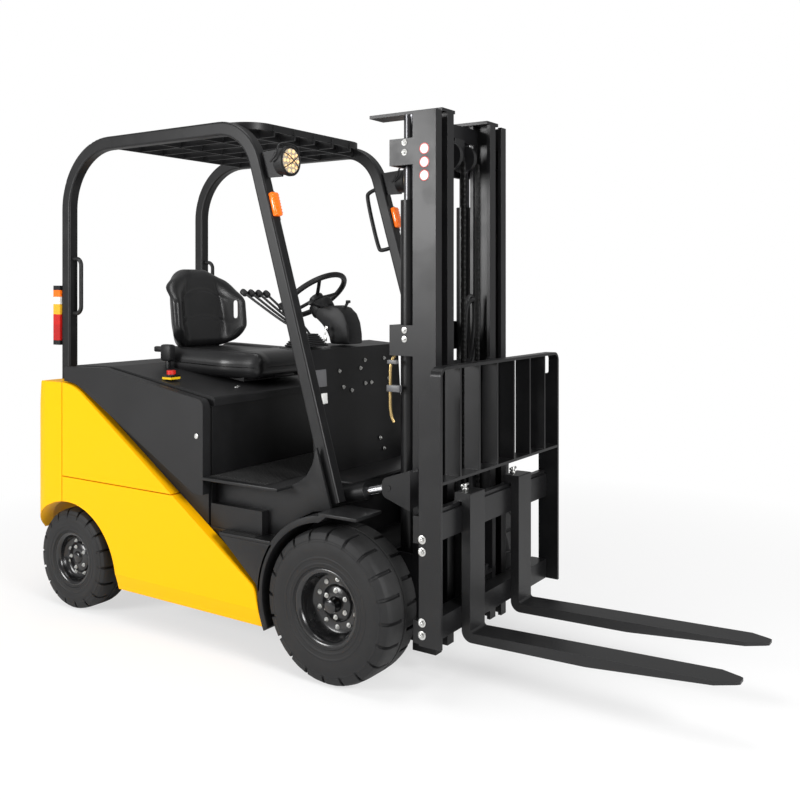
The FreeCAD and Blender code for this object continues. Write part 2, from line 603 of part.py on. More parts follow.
pad = box(s.mast_front - 70, s.mast_front - 26, -s.mast_half_width + 10, -s.inner_half_width - s.seat_gap, 1830, 1900)
side_fit = bracket
eye_fit = fuse([eye, eye_in, eye_web, eye_pin])
outer_mast = fuse(outer_pair + crosses + both(side_fit).Solids + both(eye_fit).Solids + both(pad).Solids)
add("outer_mast", outer_mast)

barrels = []
barrel_x = mast_back - 55
for side in (-1, 1):
    y = side * s.cylinder_spread
    barrels.append(Part.makeCylinder(s.cylinder_radius, 1560, Vector(barrel_x, y, 120)))
    foot_plate = box(barrel_x - 36, mast_back - 14, min(y - 36, y + 36), max(y - 36, y + 36), 104, 120)
    barrels.append(foot_plate)
lift_barrels = fuse(barrels[0:2]).fuse(fuse(barrels[2:4]))
holes = [Part.makeCylinder(s.rod_radius + 0.05, 1700, Vector(barrel_x, side * s.cylinder_spread, 180)) for side in (-1, 1)]
for hole in holes:
    lift_barrels = lift_barrels.cut(hole)
add("lift_barrels", lift_barrels)

# Inner mast
inner_front = s.mast_front - 2
inner_back = mast_back + 6
inner_right = channel(s.inner_half_width, s.inner_flange, inner_front, inner_back, s.mast_bottom + 8,
                      s.mast_height, s.channel_wall, 1)
inner_crosses = [
    box(inner_back, inner_back + 14, -s.inner_half_width, s.inner_half_width, 1000, 1090),
    box(inner_back, inner_back + 16, -s.inner_half_width, s.inner_half_width, 1915, 1975),
    box(inner_back, inner_back + 34, -34, 34, 1835, 1920),
]
top_plate = box(-40, s.mast_front - 6, -s.inner_half_width - 30, -s.inner_half_width + 60, s.mast_height, s.mast_height + 12)
rods_top = s.mast_height
roller_radius = s.mast_depth / 2 - s.channel_wall - s.seat_gap
roller_x = s.mast_front - s.mast_depth / 2
roller = rod(roller_radius, (roller_x, -s.mast_half_width + s.channel_wall + s.seat_gap, 150),
             (roller_x, -s.mast_half_width + s.channel_flange - 2, 150))
roller = fuse([roller, rod(14, (roller_x, -s.mast_half_width + 30, 150), (roller_x, -s.inner_half_width + 2, 150))])
inner_mast = fuse(both(inner_right).Solids + inner_crosses + both(top_plate).Solids + both(roller).Solids)
add("inner_mast", inner_mast)
rods = [Part.makeCylinder(s.rod_radius, rods_top - 280, Vector(barrel_x, side * s.cylinder_spread, 280))
        for side in (-1, 1)]
add("lift_rods", Part.makeCompound(rods))
wheel_x = s.mast_front - 18 - s.chain_wheel_radius
wheel_z = 1850
wheels = [Part.makeCylinder(s.chain_wheel_radius, 20, Vector(wheel_x, side * s.chain_spread - 10, wheel_z), Vector(0, 1, 0))
          for side in (-1, 1)]
pin = rod(11, (wheel_x, -s.chain_spread - 18, wheel_z), (wheel_x, s.chain_spread + 18, wheel_z))
add("chain_wheels", fuse(wheels + [pin]).cut(inner_mast))
chain_x = s.mast_front - 18
chains = [box(chain_x + 0.5, chain_x + 13, side * s.chain_spread - 9, side * s.chain_spread + 9, 326, wheel_z)
          for side in (-1, 1)]
add("lift_chains", Part.makeCompound(chains))

# Carriage, backrest and forks
plate_y = s.inner_half_width - s.inner_flange - 12
carriage_back = inner_front + 6
bar_front = s.fork_face - s.fork_thickness - s.seat_gap
upper_bar = box(carriage_back + 20, bar_front, -s.rest_half_width + 12, s.rest_half_width - 12, 520, 610)
lower_bar = box(carriage_back + 20, bar_front, -s.rest_half_width + 12, s.rest_half_width - 12, 190, 265)
hook_top = box(bar_front - 30, bar_front - 8, -s.rest_half_width + 12, s.rest_half_width - 12, 608, 624)
uprights = []
for side in (-1, 1):
    y0 = side * plate_y
    y1 = side * (plate_y - 22)
    uprights.append(side_plate([(inner_back + 24, 200, 10), (carriage_back + 22, 200), (carriage_back + 22, 600),
                                (carriage_back + 4, 525), (inner_back + 24, 510, 10)], min(y0, y1), max(y0, y1)))
anchor = box(chain_x - 6, carriage_back + 21, -s.chain_spread - 20, s.chain_spread + 20, 300, 326)
anchor_web = box(chain_x - 6, carriage_back + 21, -plate_y, plate_y, 288, 301)
add("carriage", fuse([upper_bar, lower_bar, hook_top, anchor, anchor_web] + uprights))

slats = []
slat_count = 6
pitch = 2 * s.rest_half_width / (slat_count + 1)
for i in range(1, slat_count + 1):
    y = -s.rest_half_width + i * pitch
    slats.append(box(s.rest_front - 60, s.rest_front, y - 4, y + 4, s.rest_rail - 4, s.rest_top - 4))
side_shape = [(s.rest_front - 84, s.rest_bottom, 0), (s.rest_front, s.rest_bottom), (s.rest_front, s.rest_top - 30),
              (s.rest_front - 40, s.rest_top - 30), (s.rest_front - 40, 1020, 8), (s.rest_front - 84, 1010, 14)]
sides = both(side_plate(side_shape, -s.rest_half_width, -s.rest_half_width + 12))
rail_low = box(s.rest_front - 60, s.rest_front, -s.rest_half_width + 2, s.rest_half_width - 2, s.rest_rail - 10, s.rest_rail)
top_outer = cross_plate([(-s.rest_half_width, s.rest_top - 60), (-s.rest_half_width, s.rest_top, 36),
                         (s.rest_half_width, s.rest_top, 36), (s.rest_half_width, s.rest_top - 60)],
                        s.rest_front - 40, s.rest_front)
top_inner = cross_plate([(-s.rest_half_width + 10, s.rest_top - 70), (-s.rest_half_width + 10, s.rest_top - 10, 26),
                         (s.rest_half_width - 10, s.rest_top - 10, 26), (s.rest_half_width - 10, s.rest_top - 70)],
                        s.rest_front - 50, s.rest_front + 10)
backrest = fuse(slats + sides.Solids + [rail_low, top_outer.cut(top_inner)])
backrest = backrest.cut(upper_bar).cut(lower_bar)
add("load_backrest", backrest)

rise = math.radians(s.fork_rise)
tip_z = s.fork_heel + s.fork_length * math.tan(rise)
shank_back = s.fork_face - s.fork_thickness
fork_side = [(shank_back, s.fork_heel - s.fork_thickness, 38), (s.fork_face + 420, s.fork_heel - s.fork_thickness + 420 * math.tan(rise) - 2, 300),
             (fork_tip, tip_z - 9), (fork_tip, tip_z), (s.fork_face, s.fork_heel, 10), (s.fork_face, s.fork_top, 4),
             (bar_front - 28, s.fork_top, 4), (bar_front - 28, 624 + s.seat_gap), (shank_back, 624 + s.seat_gap)]
fork = side_plate(fork_side, -s.fork_width / 2, s.fork_width / 2)
tip_plan = flat_plate([(0, -s.fork_width / 2), (fork_tip - 70, -s.fork_width / 2), (fork_tip - 12, -26, 12), (fork_tip, -18, 6),
                       (fork_tip, 18, 6), (fork_tip - 12, 26, 12), (fork_tip - 70, s.fork_width / 2), (0, s.fork_width / 2)], 0, 900)
fork = fork.common(tip_plan)
for side, name in ((-1, "fork_right"), (1, "fork_left")):
    placed = fork.copy()
    placed.translate(Vector(0, side * s.fork_spread, 0))
    add(name, placed)

# Tilt cylinders
tail = Vector(s.tilt_tail_x, -s.tilt_spread, s.tilt_tail_z)
eye_at = Vector(s.tilt_eye_x, -s.tilt_spread, s.tilt_eye_z)
along = eye_at - tail
length = along.Length
along.normalize()
barrel_end = tail + along * (length - 110)
tail_eye = rod(26, (tail.x, tail.y - 14, tail.z), (tail.x, tail.y + 14, tail.z))
tail_bore = rod(12.05, (tail.x, tail.y - 30, tail.z), (tail.x, tail.y + 30, tail.z))
barrel = fuse([rod(s.tilt_barrel_radius, tuple(tail + along * 24), tuple(barrel_end)), tail_eye])
barrel = barrel.cut(rod(s.tilt_rod_radius + 0.05, tuple(tail + along * 32), tuple(eye_at))).cut(tail_bore)
add("tilt_barrel_right", barrel)
add("tilt_barrel_left", barrel.mirror(Vector(0, 0, 0), Vector(0, 1, 0)))
rod_eye = rod(26, (eye_at.x, eye_at.y - 14, eye_at.z), (eye_at.x, eye_at.y + 14, eye_at.z))
tilt_rod = fuse([rod(s.tilt_rod_radius, tuple(tail + along * 102), tuple(eye_at - along * 10)), rod_eye])
tilt_rod = tilt_rod.cut(rod(16, (eye_at.x, eye_at.y - 30, eye_at.z), (eye_at.x, eye_at.y + 30, eye_at.z)))
add("tilt_rod_right", tilt_rod)
add("tilt_rod_left", tilt_rod.mirror(Vector(0, 0, 0), Vector(0, 1, 0)))

doc.recompute()
for item in doc.Objects:
    if "Invalid" in item.State or "Error" in item.State:
        raise RuntimeError("%s did not build" % item.Label)
for node in sub_parts:
    if node.Shape.isNull() or not node.Shape.isValid():
        raise RuntimeError("%s has no valid shape" % node.Label)
    print(node.Label, len(node.Shape.Solids), round(node.Shape.Volume / 1000))
os.makedirs("parts", exist_ok=True)
for node in sub_parts:
    node.Shape.exportStep("parts/%s.step" % node.Label)
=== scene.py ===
# %% [markdown]
# An electric counterbalance forklift, dressed for its portrait.
# The solid parts come in ready made: frame, mast, wheels, panels, each at its real size and place.
# What is left to do here is what the eye reads as real: paint, rubber, cast iron and vinyl, the soft
# seat, and the small fittings that sit on the big parts. The first lines load the solid parts.

# %% Load the truck
import json
import math

import bpy
from mathutils import Matrix, Vector


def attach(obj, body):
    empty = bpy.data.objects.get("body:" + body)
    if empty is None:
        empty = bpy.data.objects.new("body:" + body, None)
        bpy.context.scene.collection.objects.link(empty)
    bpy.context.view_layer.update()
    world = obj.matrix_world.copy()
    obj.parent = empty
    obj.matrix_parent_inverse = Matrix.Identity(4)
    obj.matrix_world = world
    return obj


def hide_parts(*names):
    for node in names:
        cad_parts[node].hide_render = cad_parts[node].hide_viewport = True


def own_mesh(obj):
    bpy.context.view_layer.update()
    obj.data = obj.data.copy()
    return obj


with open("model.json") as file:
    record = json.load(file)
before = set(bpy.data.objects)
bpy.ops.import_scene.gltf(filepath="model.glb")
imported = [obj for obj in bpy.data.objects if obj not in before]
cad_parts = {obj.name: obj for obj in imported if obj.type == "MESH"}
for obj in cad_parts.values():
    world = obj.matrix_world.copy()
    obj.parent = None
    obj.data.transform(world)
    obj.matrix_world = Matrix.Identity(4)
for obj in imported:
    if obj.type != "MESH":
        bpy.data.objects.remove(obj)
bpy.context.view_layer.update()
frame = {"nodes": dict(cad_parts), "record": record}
nodes = frame["nodes"]
scene = bpy.context.scene
bpy.ops.object.select_all(action="DESELECT")
print("loaded", len(nodes), "solid parts")

# %% [markdown]
# A finish on a real machine is never one flat value. Paint has a fine orange peel, rubber is
# chalky where it is scuffed, and cast faces are grainy. Such patterns are sums and products of
# noise, and they are easiest to read as plain Python. This small class wraps one socket of a
# material, so that adding or multiplying two sockets adds the Math node that does it.

# %% Sums and products of sockets
class Wire:
    """One output socket of a material's node tree."""

    def __init__(self, tree, socket):
        self.tree = tree
        self.socket = socket

    def node(self, kind, settings, sockets, output=0):
        """Any node: its settings first, then values or wires for its sockets."""
        made = self.tree.nodes.new(kind)
        for name, value in settings.items():
            setattr(made, name, value)
        for name, value in sockets.items():
            target = made.inputs[name]
            if isinstance(value, Wire):
                self.tree.links.new(value.socket, target)
            else:
                target.default_value = value
        return Wire(self.tree, made.outputs[output])

    def math(self, operation, other, swapped=False):
        pair = {0: other, 1: self} if swapped else {0: self, 1: other}
        return self.node("ShaderNodeMath", {"operation": operation}, pair)

    def __add__(self, other):
        return self.math("ADD", other)

    __radd__ = __add__

    def __mul__(self, other):
        return self.math("MULTIPLY", other)

    __rmul__ = __mul__

    def __sub__(self, other):
        return self.math("SUBTRACT", other)

    def __rsub__(self, other):
        return self.math("SUBTRACT", other, swapped=True)

    def along(self, direction):
        """Distance along a direction, this wire being the place."""
        return self.node("ShaderNodeVectorMath", {"operation": "DOT_PRODUCT"},
                         {0: self, 1: direction}, "Value")

    def from_line(self, centre, stretch):
        """Distance from a centre, each axis first scaled, this wire being the place."""
        moved = self.node("ShaderNodeVectorMath", {"operation": "SUBTRACT"}, {0: self, 1: centre})
        flat = moved.node("ShaderNodeVectorMath", {"operation": "MULTIPLY"}, {0: moved, 1: stretch})
        return flat.node("ShaderNodeVectorMath", {"operation": "LENGTH"}, {0: flat}, "Value")

    def noise(self, scale, detail=3.0, roughness=0.55):
        """Soft random pattern between 0 and 1, this wire being the place."""
        return self.node("ShaderNodeTexNoise", {}, {"Vector": self, "Scale": scale, "Detail": detail,
                                                    "Roughness": roughness})

    def ramp(self, low, high, start=0.0, end=1.0):
        """Straight change from start to end while this wire goes from low to high."""
        return self.node("ShaderNodeMapRange", {}, {0: self, 1: low, 2: high, 3: start, 4: end})

    def mix(self, first, second):
        """Colour between first and second, this wire being the share of the second."""
        return self.node("ShaderNodeMix", {"data_type": "RGBA"}, {0: self, 6: first, 7: second}, 2)


def grey(value):
    """Opaque grey of one linear value."""
    return (value, value, value, 1.0)


def start_material(name):
    """New material, its shader and the wire of the object's own coordinates."""
    material = bpy.data.materials.new(name)
    material.use_nodes = True
    tree = material.node_tree
    shader = tree.nodes["Principled BSDF"]
    place = Wire(tree, tree.nodes.new("ShaderNodeTexCoord").outputs["Object"])
    return material, shader, place


def plug(shader, values):
    """Sets or links the shader's sockets."""
    for name, value in values.items():
        if isinstance(value, Wire):
            value.tree.links.new(value.socket, shader.inputs[name])
        else:
            shader.inputs[name].default_value = value


# %% [markdown]
# No pressed, cast or cut edge is truly sharp, and the thin bright line where an edge rolls over
# is what makes black parts readable. A Bevel node bends the normal within a millimetre or two of
# each edge, which costs no faces. The fine grain of the surface is added on top of it.

# %% Rolled edges and grain in the normal
def rolled(place, radius):
    """Normal that turns over the edges as if they had this radius."""
    return place.node("ShaderNodeBevel", {"samples": 4}, {"Radius": radius})


def bumped(place, height, strength, distance, edge=0.0015):
    """Normal of a surface whose height is the given wire, with rolled edges."""
    return place.node("ShaderNodeBump", {}, {"Height": height, "Strength": strength,
                                             "Distance": distance, "Normal": rolled(place, edge)})


# %% [markdown]
# Sprayed enamel covers most of the truck. It is one recipe with a few numbers: the colour, how
# glossy it is, how coarse its orange peel is, and how far dust dulls it. The peel is fine noise in
# the normal. Broad, faint noise shifts the colour and the gloss, as on any hand-sprayed panel.

# %% Sprayed paint
def paint(name, colour, roughness, peel=0.05, dust=0.03, coat=0.0, specular=0.5, grain=260.0,
          edge=0.0015):
    material, shader, place = start_material(name)
    broad = place.noise(2.3, 4.0)
    fine = place.noise(grain, 2.0)
    smudge = place.noise(9.0, 5.0, 0.65).ramp(0.48, 0.72)
    dusty = tuple(min(1.0, c * (1 - 3 * dust) + dust) for c in colour[:3]) + (1.0,)
    plug(shader, {
        "Base Color": (smudge * 0.5 + broad * 0.5).mix(colour, dusty),
        "Roughness": roughness + (broad - 0.5) * 0.12 + smudge * 0.06,
        "Normal": bumped(place, fine, peel, 0.0006, edge),
        "Coat Weight": coat,
        "Coat Roughness": 0.08,
        "Specular IOR Level": specular,
    })
    return material


yellow_paint = paint("yellow_enamel", (0.93, 0.45, 0.0, 1), 0.42, 0.03, 0.0, specular=0.10, edge=0.004)
black_paint = paint("black_enamel", (0.006, 0.006, 0.0065, 1), 0.40, 0.08, 0.006, specular=0.3)
mast_paint = paint("mast_enamel", (0.0055, 0.0055, 0.006, 1), 0.34, 0.12, 0.006, specular=0.32)
fork_paint = paint("fork_enamel", (0.008, 0.008, 0.0085, 1), 0.42, 0.10, 0.008, specular=0.36)
rim_paint = paint("rim_enamel", (0.004, 0.004, 0.0045, 1), 0.24, 0.05, 0.003, coat=0.2)
battery_paint = paint("battery_enamel", (0.03, 0.03, 0.035, 1), 0.5)
white_paint = paint("white_enamel", (0.80, 0.80, 0.78, 1), 0.45, dust=0.02)
grey_paint = paint("grey_enamel", (0.10, 0.10, 0.105, 1), 0.40, dust=0.02)
red_paint = paint("red_enamel", (0.55, 0.015, 0.010, 1), 0.35, dust=0.01)

# %% [markdown]
# Moulded plastic has a leather-like grain that the tool gave it, which scatters light more than
# paint does. Cells of a Voronoi pattern, softened with noise, make that grain. The seat's vinyl
# and the tyres' rubber are the same recipe with other cells.

# %% Grained plastic, vinyl and rubber
def grained(name, colour, roughness, scale, strength, specular=0.4, edge=0.0015):
    material, shader, place = start_material(name)
    cells = place.node("ShaderNodeTexVoronoi", {"feature": "SMOOTH_F1"}, {"Vector": place, "Scale": scale})
    broad = place.noise(4.0, 4.0)
    lighter = tuple(c * 1.6 for c in colour[:3]) + (1.0,)
    plug(shader, {
        "Base Color": broad.ramp(0.35, 0.75).mix(colour, lighter),
        "Roughness": roughness + (broad - 0.5) * 0.14,
        "Normal": bumped(place, cells + place.noise(scale * 2.0) * 0.4, strength, 0.0008, edge),
        "Specular IOR Level": specular,
    })
    return material


black_plastic = grained("grained_plastic", (0.008, 0.008, 0.0085, 1), 0.48, 620.0, 0.16, 0.3)
vinyl = grained("seat_vinyl", (0.009, 0.009, 0.0095, 1), 0.34, 420.0, 0.16, 0.42)
mat_rubber = grained("ribbed_mat", (0.010, 0.010, 0.010, 1), 0.55, 90.0, 0.5, 0.3)

# %% [markdown]
# Bare and plated steel: rods are hard chrome, the lift rods oiled, bolts are zinc, chains are oiled. They share
# one recipe of a metal with fine scratches that run at random.

# %% Bare metal
def bare_metal(name, colour, roughness, scratch=0.08, stretch=(1, 1, 14)):
    material, shader, place = start_material(name)
    drawn = place.node("ShaderNodeMapping", {}, {"Vector": place, "Scale": stretch})
    lines = drawn.noise(120.0, 3.0)
    broad = place.noise(12.0, 3.0)
    darker = tuple(c * 0.72 for c in colour[:3]) + (1.0,)
    plug(shader, {
        "Base Color": broad.mix(colour, darker),
        "Metallic": 1.0,
        "Roughness": roughness + lines * 0.14,
        "Normal": bumped(place, lines, scratch, 0.0004, 0.0008),
    })
    return material


chrome = bare_metal("hard_chrome", (0.80, 0.80, 0.82, 1), 0.08)
zinc = bare_metal("zinc_plate", (0.72, 0.72, 0.70, 1), 0.26)
brass = bare_metal("brass_pipe", (0.62, 0.45, 0.20, 1), 0.25)
chain_steel = bare_metal("oiled_chain", (0.045, 0.045, 0.045, 1), 0.40)
oiled_rod = bare_metal("oiled_rod", (0.10, 0.10, 0.105, 1), 0.22)

# %% [markdown]
# A pneumatic-shaped solid tyre is chalky black. Its sidewall carries moulded rings, and the crown
# between the lugs is rubbed greyer. Both follow the distance from the axle, so each tyre gets its
# own copy of the recipe, centred on its own axle. The rings are height in the bump, not faces.

# %% Tyre rubber
def tyre_rubber(name, axle, radius, rim):
    material, shader, place = start_material(name)
    reach = place.from_line(axle, (1, 0, 1))
    height = place.noise(260.0, 3.0) * 0.25
    for share in (0.20, 0.34, 0.74):
        ring = rim + (radius - rim) * share
        height = height + reach.ramp(ring - 0.004, ring) - reach.ramp(ring + 0.003, ring + 0.007)
    broad = place.noise(7.0, 5.0, 0.6)
    worn = reach.ramp(radius - 0.012, radius) * 0.6 + broad.ramp(0.45, 0.8) * 0.4
    plug(shader, {
        "Base Color": worn.mix((0.010, 0.010, 0.0105, 1), (0.026, 0.026, 0.026, 1)),
        "Roughness": 0.58 + (broad - 0.5) * 0.15,
        "Normal": bumped(place, height, 0.5, 0.003, 0.004),
        "Specular IOR Level": 0.3,
    })
    return material


# %% [markdown]
# Some parts come as one solid but wear two or three colours: the lamp on its black back plate,
# the red knob on its yellow foot. The colours change where the part passes a plane, so the recipe
# measures each point along a direction and switches colour at given distances.

# %% Colours that change along a direction
def banded(name, direction, bands, roughness, specular=0.5, coat=0.0, glow=0.0):
    """Bands are (start in metres along the direction, colour), the first from the beginning."""
    material, shader, place = start_material(name)
    distance = place.along(direction)
    colour = bands[0][1]
    for start, shade in bands[1:]:
        colour = distance.ramp(start - 0.0001, start + 0.0001).mix(colour, shade)
    broad = place.noise(14.0, 3.0)
    plug(shader, {
        "Base Color": colour,
        "Roughness": roughness + (broad - 0.5) * 0.1,
        "Normal": bumped(place, place.noise(300.0), 0.05, 0.0005),
        "Specular IOR Level": specular,
        "Coat Weight": coat,
    })
    if glow:
        plug(shader, {"Emission Color": colour, "Emission Strength": glow})
    return material


# %% [markdown]
# All places are measured in millimetres from the middle of the front axle, on the ground, as a
# mechanic would: forward, left, up. One function turns such a place into the scene's metres.

# %% Places on the truck
AXLE_X = 0.2035


def at(x, y, z):
    """Millimetres ahead of the front axle, to the left and above the ground, as a place."""
    return Vector((x / 1000 + AXLE_X, y / 1000, z / 1000))


rake = math.radians(15.9)
pillar_out = Vector((math.cos(rake), 0, math.sin(rake)))
BLACK = (0.006, 0.006, 0.0065, 1)
AMBER = (0.95, 0.16, 0.004, 1)
amber_glass = banded("turn_lamp_glass", (0, 0, 1), [(0, AMBER)], 0.18, coat=0.4, glow=0.2)
stop_switch = banded("stop_switch", (0, 0, 1), [(0, (0.85, 0.55, 0.01, 1)), (1.004, BLACK),
                                                 (1.0145, (0.62, 0.02, 0.012, 1))], 0.32)
tail_lamp = banded("tail_lamp_glass", (0, 0, 1), [
    (0, BLACK), (1.130, (0.42, 0.008, 0.006, 1)), (1.200, (0.50, 0.01, 0.006, 1)),
    (1.245, (0.75, 0.40, 0.02, 1)), (1.290, (0.72, 0.70, 0.66, 1)), (1.322, AMBER), (1.352, BLACK)],
    0.2, coat=0.4)

# %% Which finish each solid part wears
finishes = {
    "yellow_paint": yellow_paint, "black_paint": black_paint, "mast_black": mast_paint,
    "fork_black": fork_paint, "black_plastic": black_plastic, "seat_vinyl": vinyl,
    "tyre_rubber": black_plastic, "rim_black": rim_paint, "steel": zinc, "chrome_rod": chrome,
    "chain_steel": chain_steel, "lamp_lens": black_plastic, "amber_lens": amber_glass,
    "red_lens": tail_lamp, "battery_steel": battery_paint, "red_button": stop_switch,
}
own_finish = {"tilt_barrel_right": black_paint, "tilt_barrel_left": black_paint,
              "emergency_stop": stop_switch, "lift_rods": oiled_rod, "chain_wheels": mast_paint}
for subpart in frame["record"]["subparts"]:
    name = subpart["node"]
    node = nodes[name]
    node.data.materials.clear()
    node.data.materials.append(own_finish.get(name) or finishes[subpart["material_slot"]])
print("painted", len(nodes), "solid parts")

# %% [markdown]
# Small fittings are all made in the same way: a primitive at its place, edges broken with a Bevel
# modifier, joined with its neighbours and given to the body that carries it. These helpers do
# those steps. Each starts from an empty selection, because an operator acts on all that is
# selected, and each finished piece keeps its place in its mesh, with its object at the origin.

# %% Helpers for small fittings
def pick(pieces):
    """Selects only these objects, the first one active."""
    bpy.ops.object.select_all(action="DESELECT")
    for piece in pieces:
        piece.select_set(True)
    bpy.context.view_layer.objects.active = pieces[0]


def use(piece, kind, **settings):
    """Adds a modifier and applies it."""
    pick([piece])
    modifier = piece.modifiers.new(kind.lower(), kind)
    for name, value in settings.items():
        setattr(modifier, name, value)
    bpy.ops.object.modifier_apply(modifier=modifier.name)


def break_edges(piece, width):
    """Rounds the sharp edges by a width in millimetres."""
    use(piece, "BEVEL", width=width / 1000, segments=2, limit_method="ANGLE",
        angle_limit=math.radians(35))


def disc(radius, depth, place, direction=(0, 0, 1), sides=24, edge=0.0):
    """Round or many-sided slice, its middle at the place, about a direction, in millimetres."""
    turn = Vector(direction).to_track_quat("Z", "Y").to_euler()
    bpy.ops.object.select_all(action="DESELECT")
    bpy.ops.mesh.primitive_cylinder_add(vertices=sides, radius=radius / 1000, depth=depth / 1000,
                                        location=place, rotation=turn)
    piece = bpy.context.object
    pick([piece])
    bpy.ops.object.transform_apply(location=True, rotation=True, scale=True)
    if edge:
        break_edges(piece, edge)
    return piece


def block(low, high, edge=1.5):
    """Block between two corners in millimetres, with broken edges."""
    low, high = at(*low), at(*high)
    bpy.ops.object.select_all(action="DESELECT")
    bpy.ops.mesh.primitive_cube_add(size=1, location=(low + high) / 2)
    piece = bpy.context.object
    piece.scale = high - low
    bpy.ops.object.transform_apply(location=True, rotation=True, scale=True)
    if edge:
        break_edges(piece, edge)
    return piece


def bar(radius, start, end, sides=14, edge=0.8):
    """Round bar between two places."""
    along = end - start
    return disc(radius, along.length * 1000, (start + end) / 2, along, sides, edge)


def joined(pieces):
    """One object from several."""
    pick(pieces)
    bpy.ops.object.join()
    return bpy.context.object


def settle(name, pieces, material, body, smooth=40):
    """Joins the pieces under one name and finish, and lets them ride on a body."""
    piece = joined(pieces) if len(pieces) > 1 else pieces[0]
    pick([piece])
    bpy.ops.object.transform_apply(location=True, rotation=True, scale=True)
    bpy.ops.object.shade_smooth_by_angle(angle=math.radians(smooth))
    piece.name = name
    piece.data.name = name
    piece.data.materials.clear()
    piece.data.materials.append(material)
    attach(piece, body)
    return piece


def copies(model, spots):
    """Copies of a model that stands about Z at the origin, one at each (place, direction)."""
    made = []
    for place, direction in spots:
        twin = model.copy()
        twin.data = model.data.copy()
        scene.collection.objects.link(twin)
        turn = Vector(direction).to_track_quat("Z", "Y").to_matrix().to_4x4()
        twin.data.transform(Matrix.Translation(place) @ turn)
        made.append(twin)
    bpy.data.objects.remove(model)
    return made


def pipe(radius, points, sides=4):
    """Smooth bent pipe along places."""
    curve = bpy.data.curves.new("pipe", "CURVE")
    curve.dimensions = "3D"
    curve.bevel_depth = radius / 1000
    curve.bevel_resolution = sides
    curve.use_fill_caps = True
    line = curve.splines.new("NURBS")
    line.points.add(len(points) - 1)
    for point, place in zip(line.points, points):
        point.co = (*place, 1.0)
    line.order_u = 3
    line.use_endpoint_u = True
    line.resolution_u = 8
    piece = bpy.data.objects.new("pipe", curve)
    scene.collection.objects.link(piece)
    pick([piece])
    bpy.ops.object.convert(target="MESH")
    return bpy.context.object


def mirrored(places):
    """The places and their twins on the other side of the truck."""
    return [(Vector(p), Vector(d)) for p, d in places] + [
        (Vector((p[0], -p[1], p[2])), Vector((d[0], -d[1], d[2]))) for p, d in places]


# %% [markdown]
# Bolts tell the eye how big the machine is. A flanged hexagon bolt is a thin washer, a six-sided
# head with its corners broken, and the end of its thread. It is modelled once, standing on the
# origin, and then copied to each hole, turned to face out of its plate.

# %% Bolts
def bolt_model(radius, thread=True):
    washer = disc(radius * 1.45, 2.0, Vector((0, 0, 0.001)), sides=20, edge=0.4)
    head = disc(radius, radius * 0.8, Vector((0, 0, (2 + radius * 0.4) / 1000)), sides=6, edge=0.9)
    parts = [washer, head]
    if thread:
        tip = disc(radius * 0.52, radius * 0.5, Vector((0, 0, (2 + radius * 1.0) / 1000)), sides=12, edge=0.5)
        parts.append(tip)
    return joined(parts)


def bolts(name, radius, spots, body, material=zinc):
    return settle(name, copies(bolt_model(radius), spots), material, body, 30)


OUT = Vector((0, -1, 0))

# %% [markdown]
# The wheels carry most of the truck's character: a thick tyre with a shoulder of blocks, parted by
# narrow slots that stand half a step apart on the two sides, on a deep dished rim. A tyre is one
# cross-section carried round the axle, so its rows are rings of points; where a slot passes, the
# ring dips. Spinning a profile would give the rings but not the slots, so the points are placed by
# a small function and the faces follow.

# %% Tyres
def ring_mesh(name, rings):
    """Closed tube of faces through rings of points, the last ring joined to the first."""
    count, steps = len(rings), len(rings[0])
    points = [point for ring in rings for point in ring]
    faces = [(i * steps + k, ((i + 1) % count) * steps + k,
              ((i + 1) % count) * steps + (k + 1) % steps, i * steps + (k + 1) % steps)
             for i in range(count) for k in range(steps)]
    mesh = bpy.data.meshes.new(name)
    mesh.from_pydata(points, [], faces)
    piece = bpy.data.objects.new(name, mesh)
    scene.collection.objects.link(piece)
    pick([piece])
    bpy.ops.object.mode_set(mode="EDIT")
    bpy.ops.mesh.select_all(action="SELECT")
    bpy.ops.mesh.normals_make_consistent(inside=False)
    bpy.ops.object.mode_set(mode="OBJECT")
    return piece


# Shares of one lug's pitch where points stand, and which of them drop into a slot on each side
SLOT_STEPS = (0.0, 0.325, 0.34, 0.46, 0.475, 0.825, 0.84, 0.96, 0.975)
OUTER_SLOT, INNER_SLOT = (6, 7), (2, 3)


def lugged_tyre(name, axle, sign, radius, width, face, rim, lugs):
    """Tyre whose outer face stands at the given distance from the truck's middle, in millimetres.

    Each row of half is a share of the width, a radius and the depth of a slot there.
    """
    side = rim + 0.5 * (radius - rim)
    half = ((0.14, rim - 2, 0), (0.11, rim + 6, 0), (0.05, rim + 9, 0), (0.045, rim + 15, 0),
            (0.02, rim + 18, 0), (0.002, side, 0), (0.0, side + 10, 0), (0.012, radius - 40, 0),
            (0.016, radius - 38, 3), (0.03, radius - 24, 12), (0.07, radius - 10, 13),
            (0.12, radius - 4, 13), (0.18, radius - 1.5, 13), (0.30, radius, 12), (0.41, radius, 10),
            (0.42, radius, 0), (0.475, radius, 0), (0.48, radius - 5, 0))
    rows = [(share, reach, slot, OUTER_SLOT) for share, reach, slot in half]
    rows += [(1 - share, reach, slot, INNER_SLOT) for share, reach, slot in reversed(half)]
    rings = []
    for share, reach, slot, sunk in rows:
        ring = []
        for k in range(lugs * len(SLOT_STEPS)):
            lug, step = divmod(k, len(SLOT_STEPS))
            angle = 2 * math.pi * (lug + SLOT_STEPS[step]) / lugs
            here = (reach - (slot if step in sunk else 0)) / 1000
            ring.append((axle.x + here * math.cos(angle), sign * (face - share * width) / 1000,
                         axle.z + here * math.sin(angle)))
        rings.append(ring)
    return ring_mesh(name, rings)


# %% [markdown]
# A rim is pressed from thick sheet: a rolled lip, a barrel, and a dish that carries the nuts. It is
# round all over, so its half profile is drawn as a line of edges and spun about the axle.

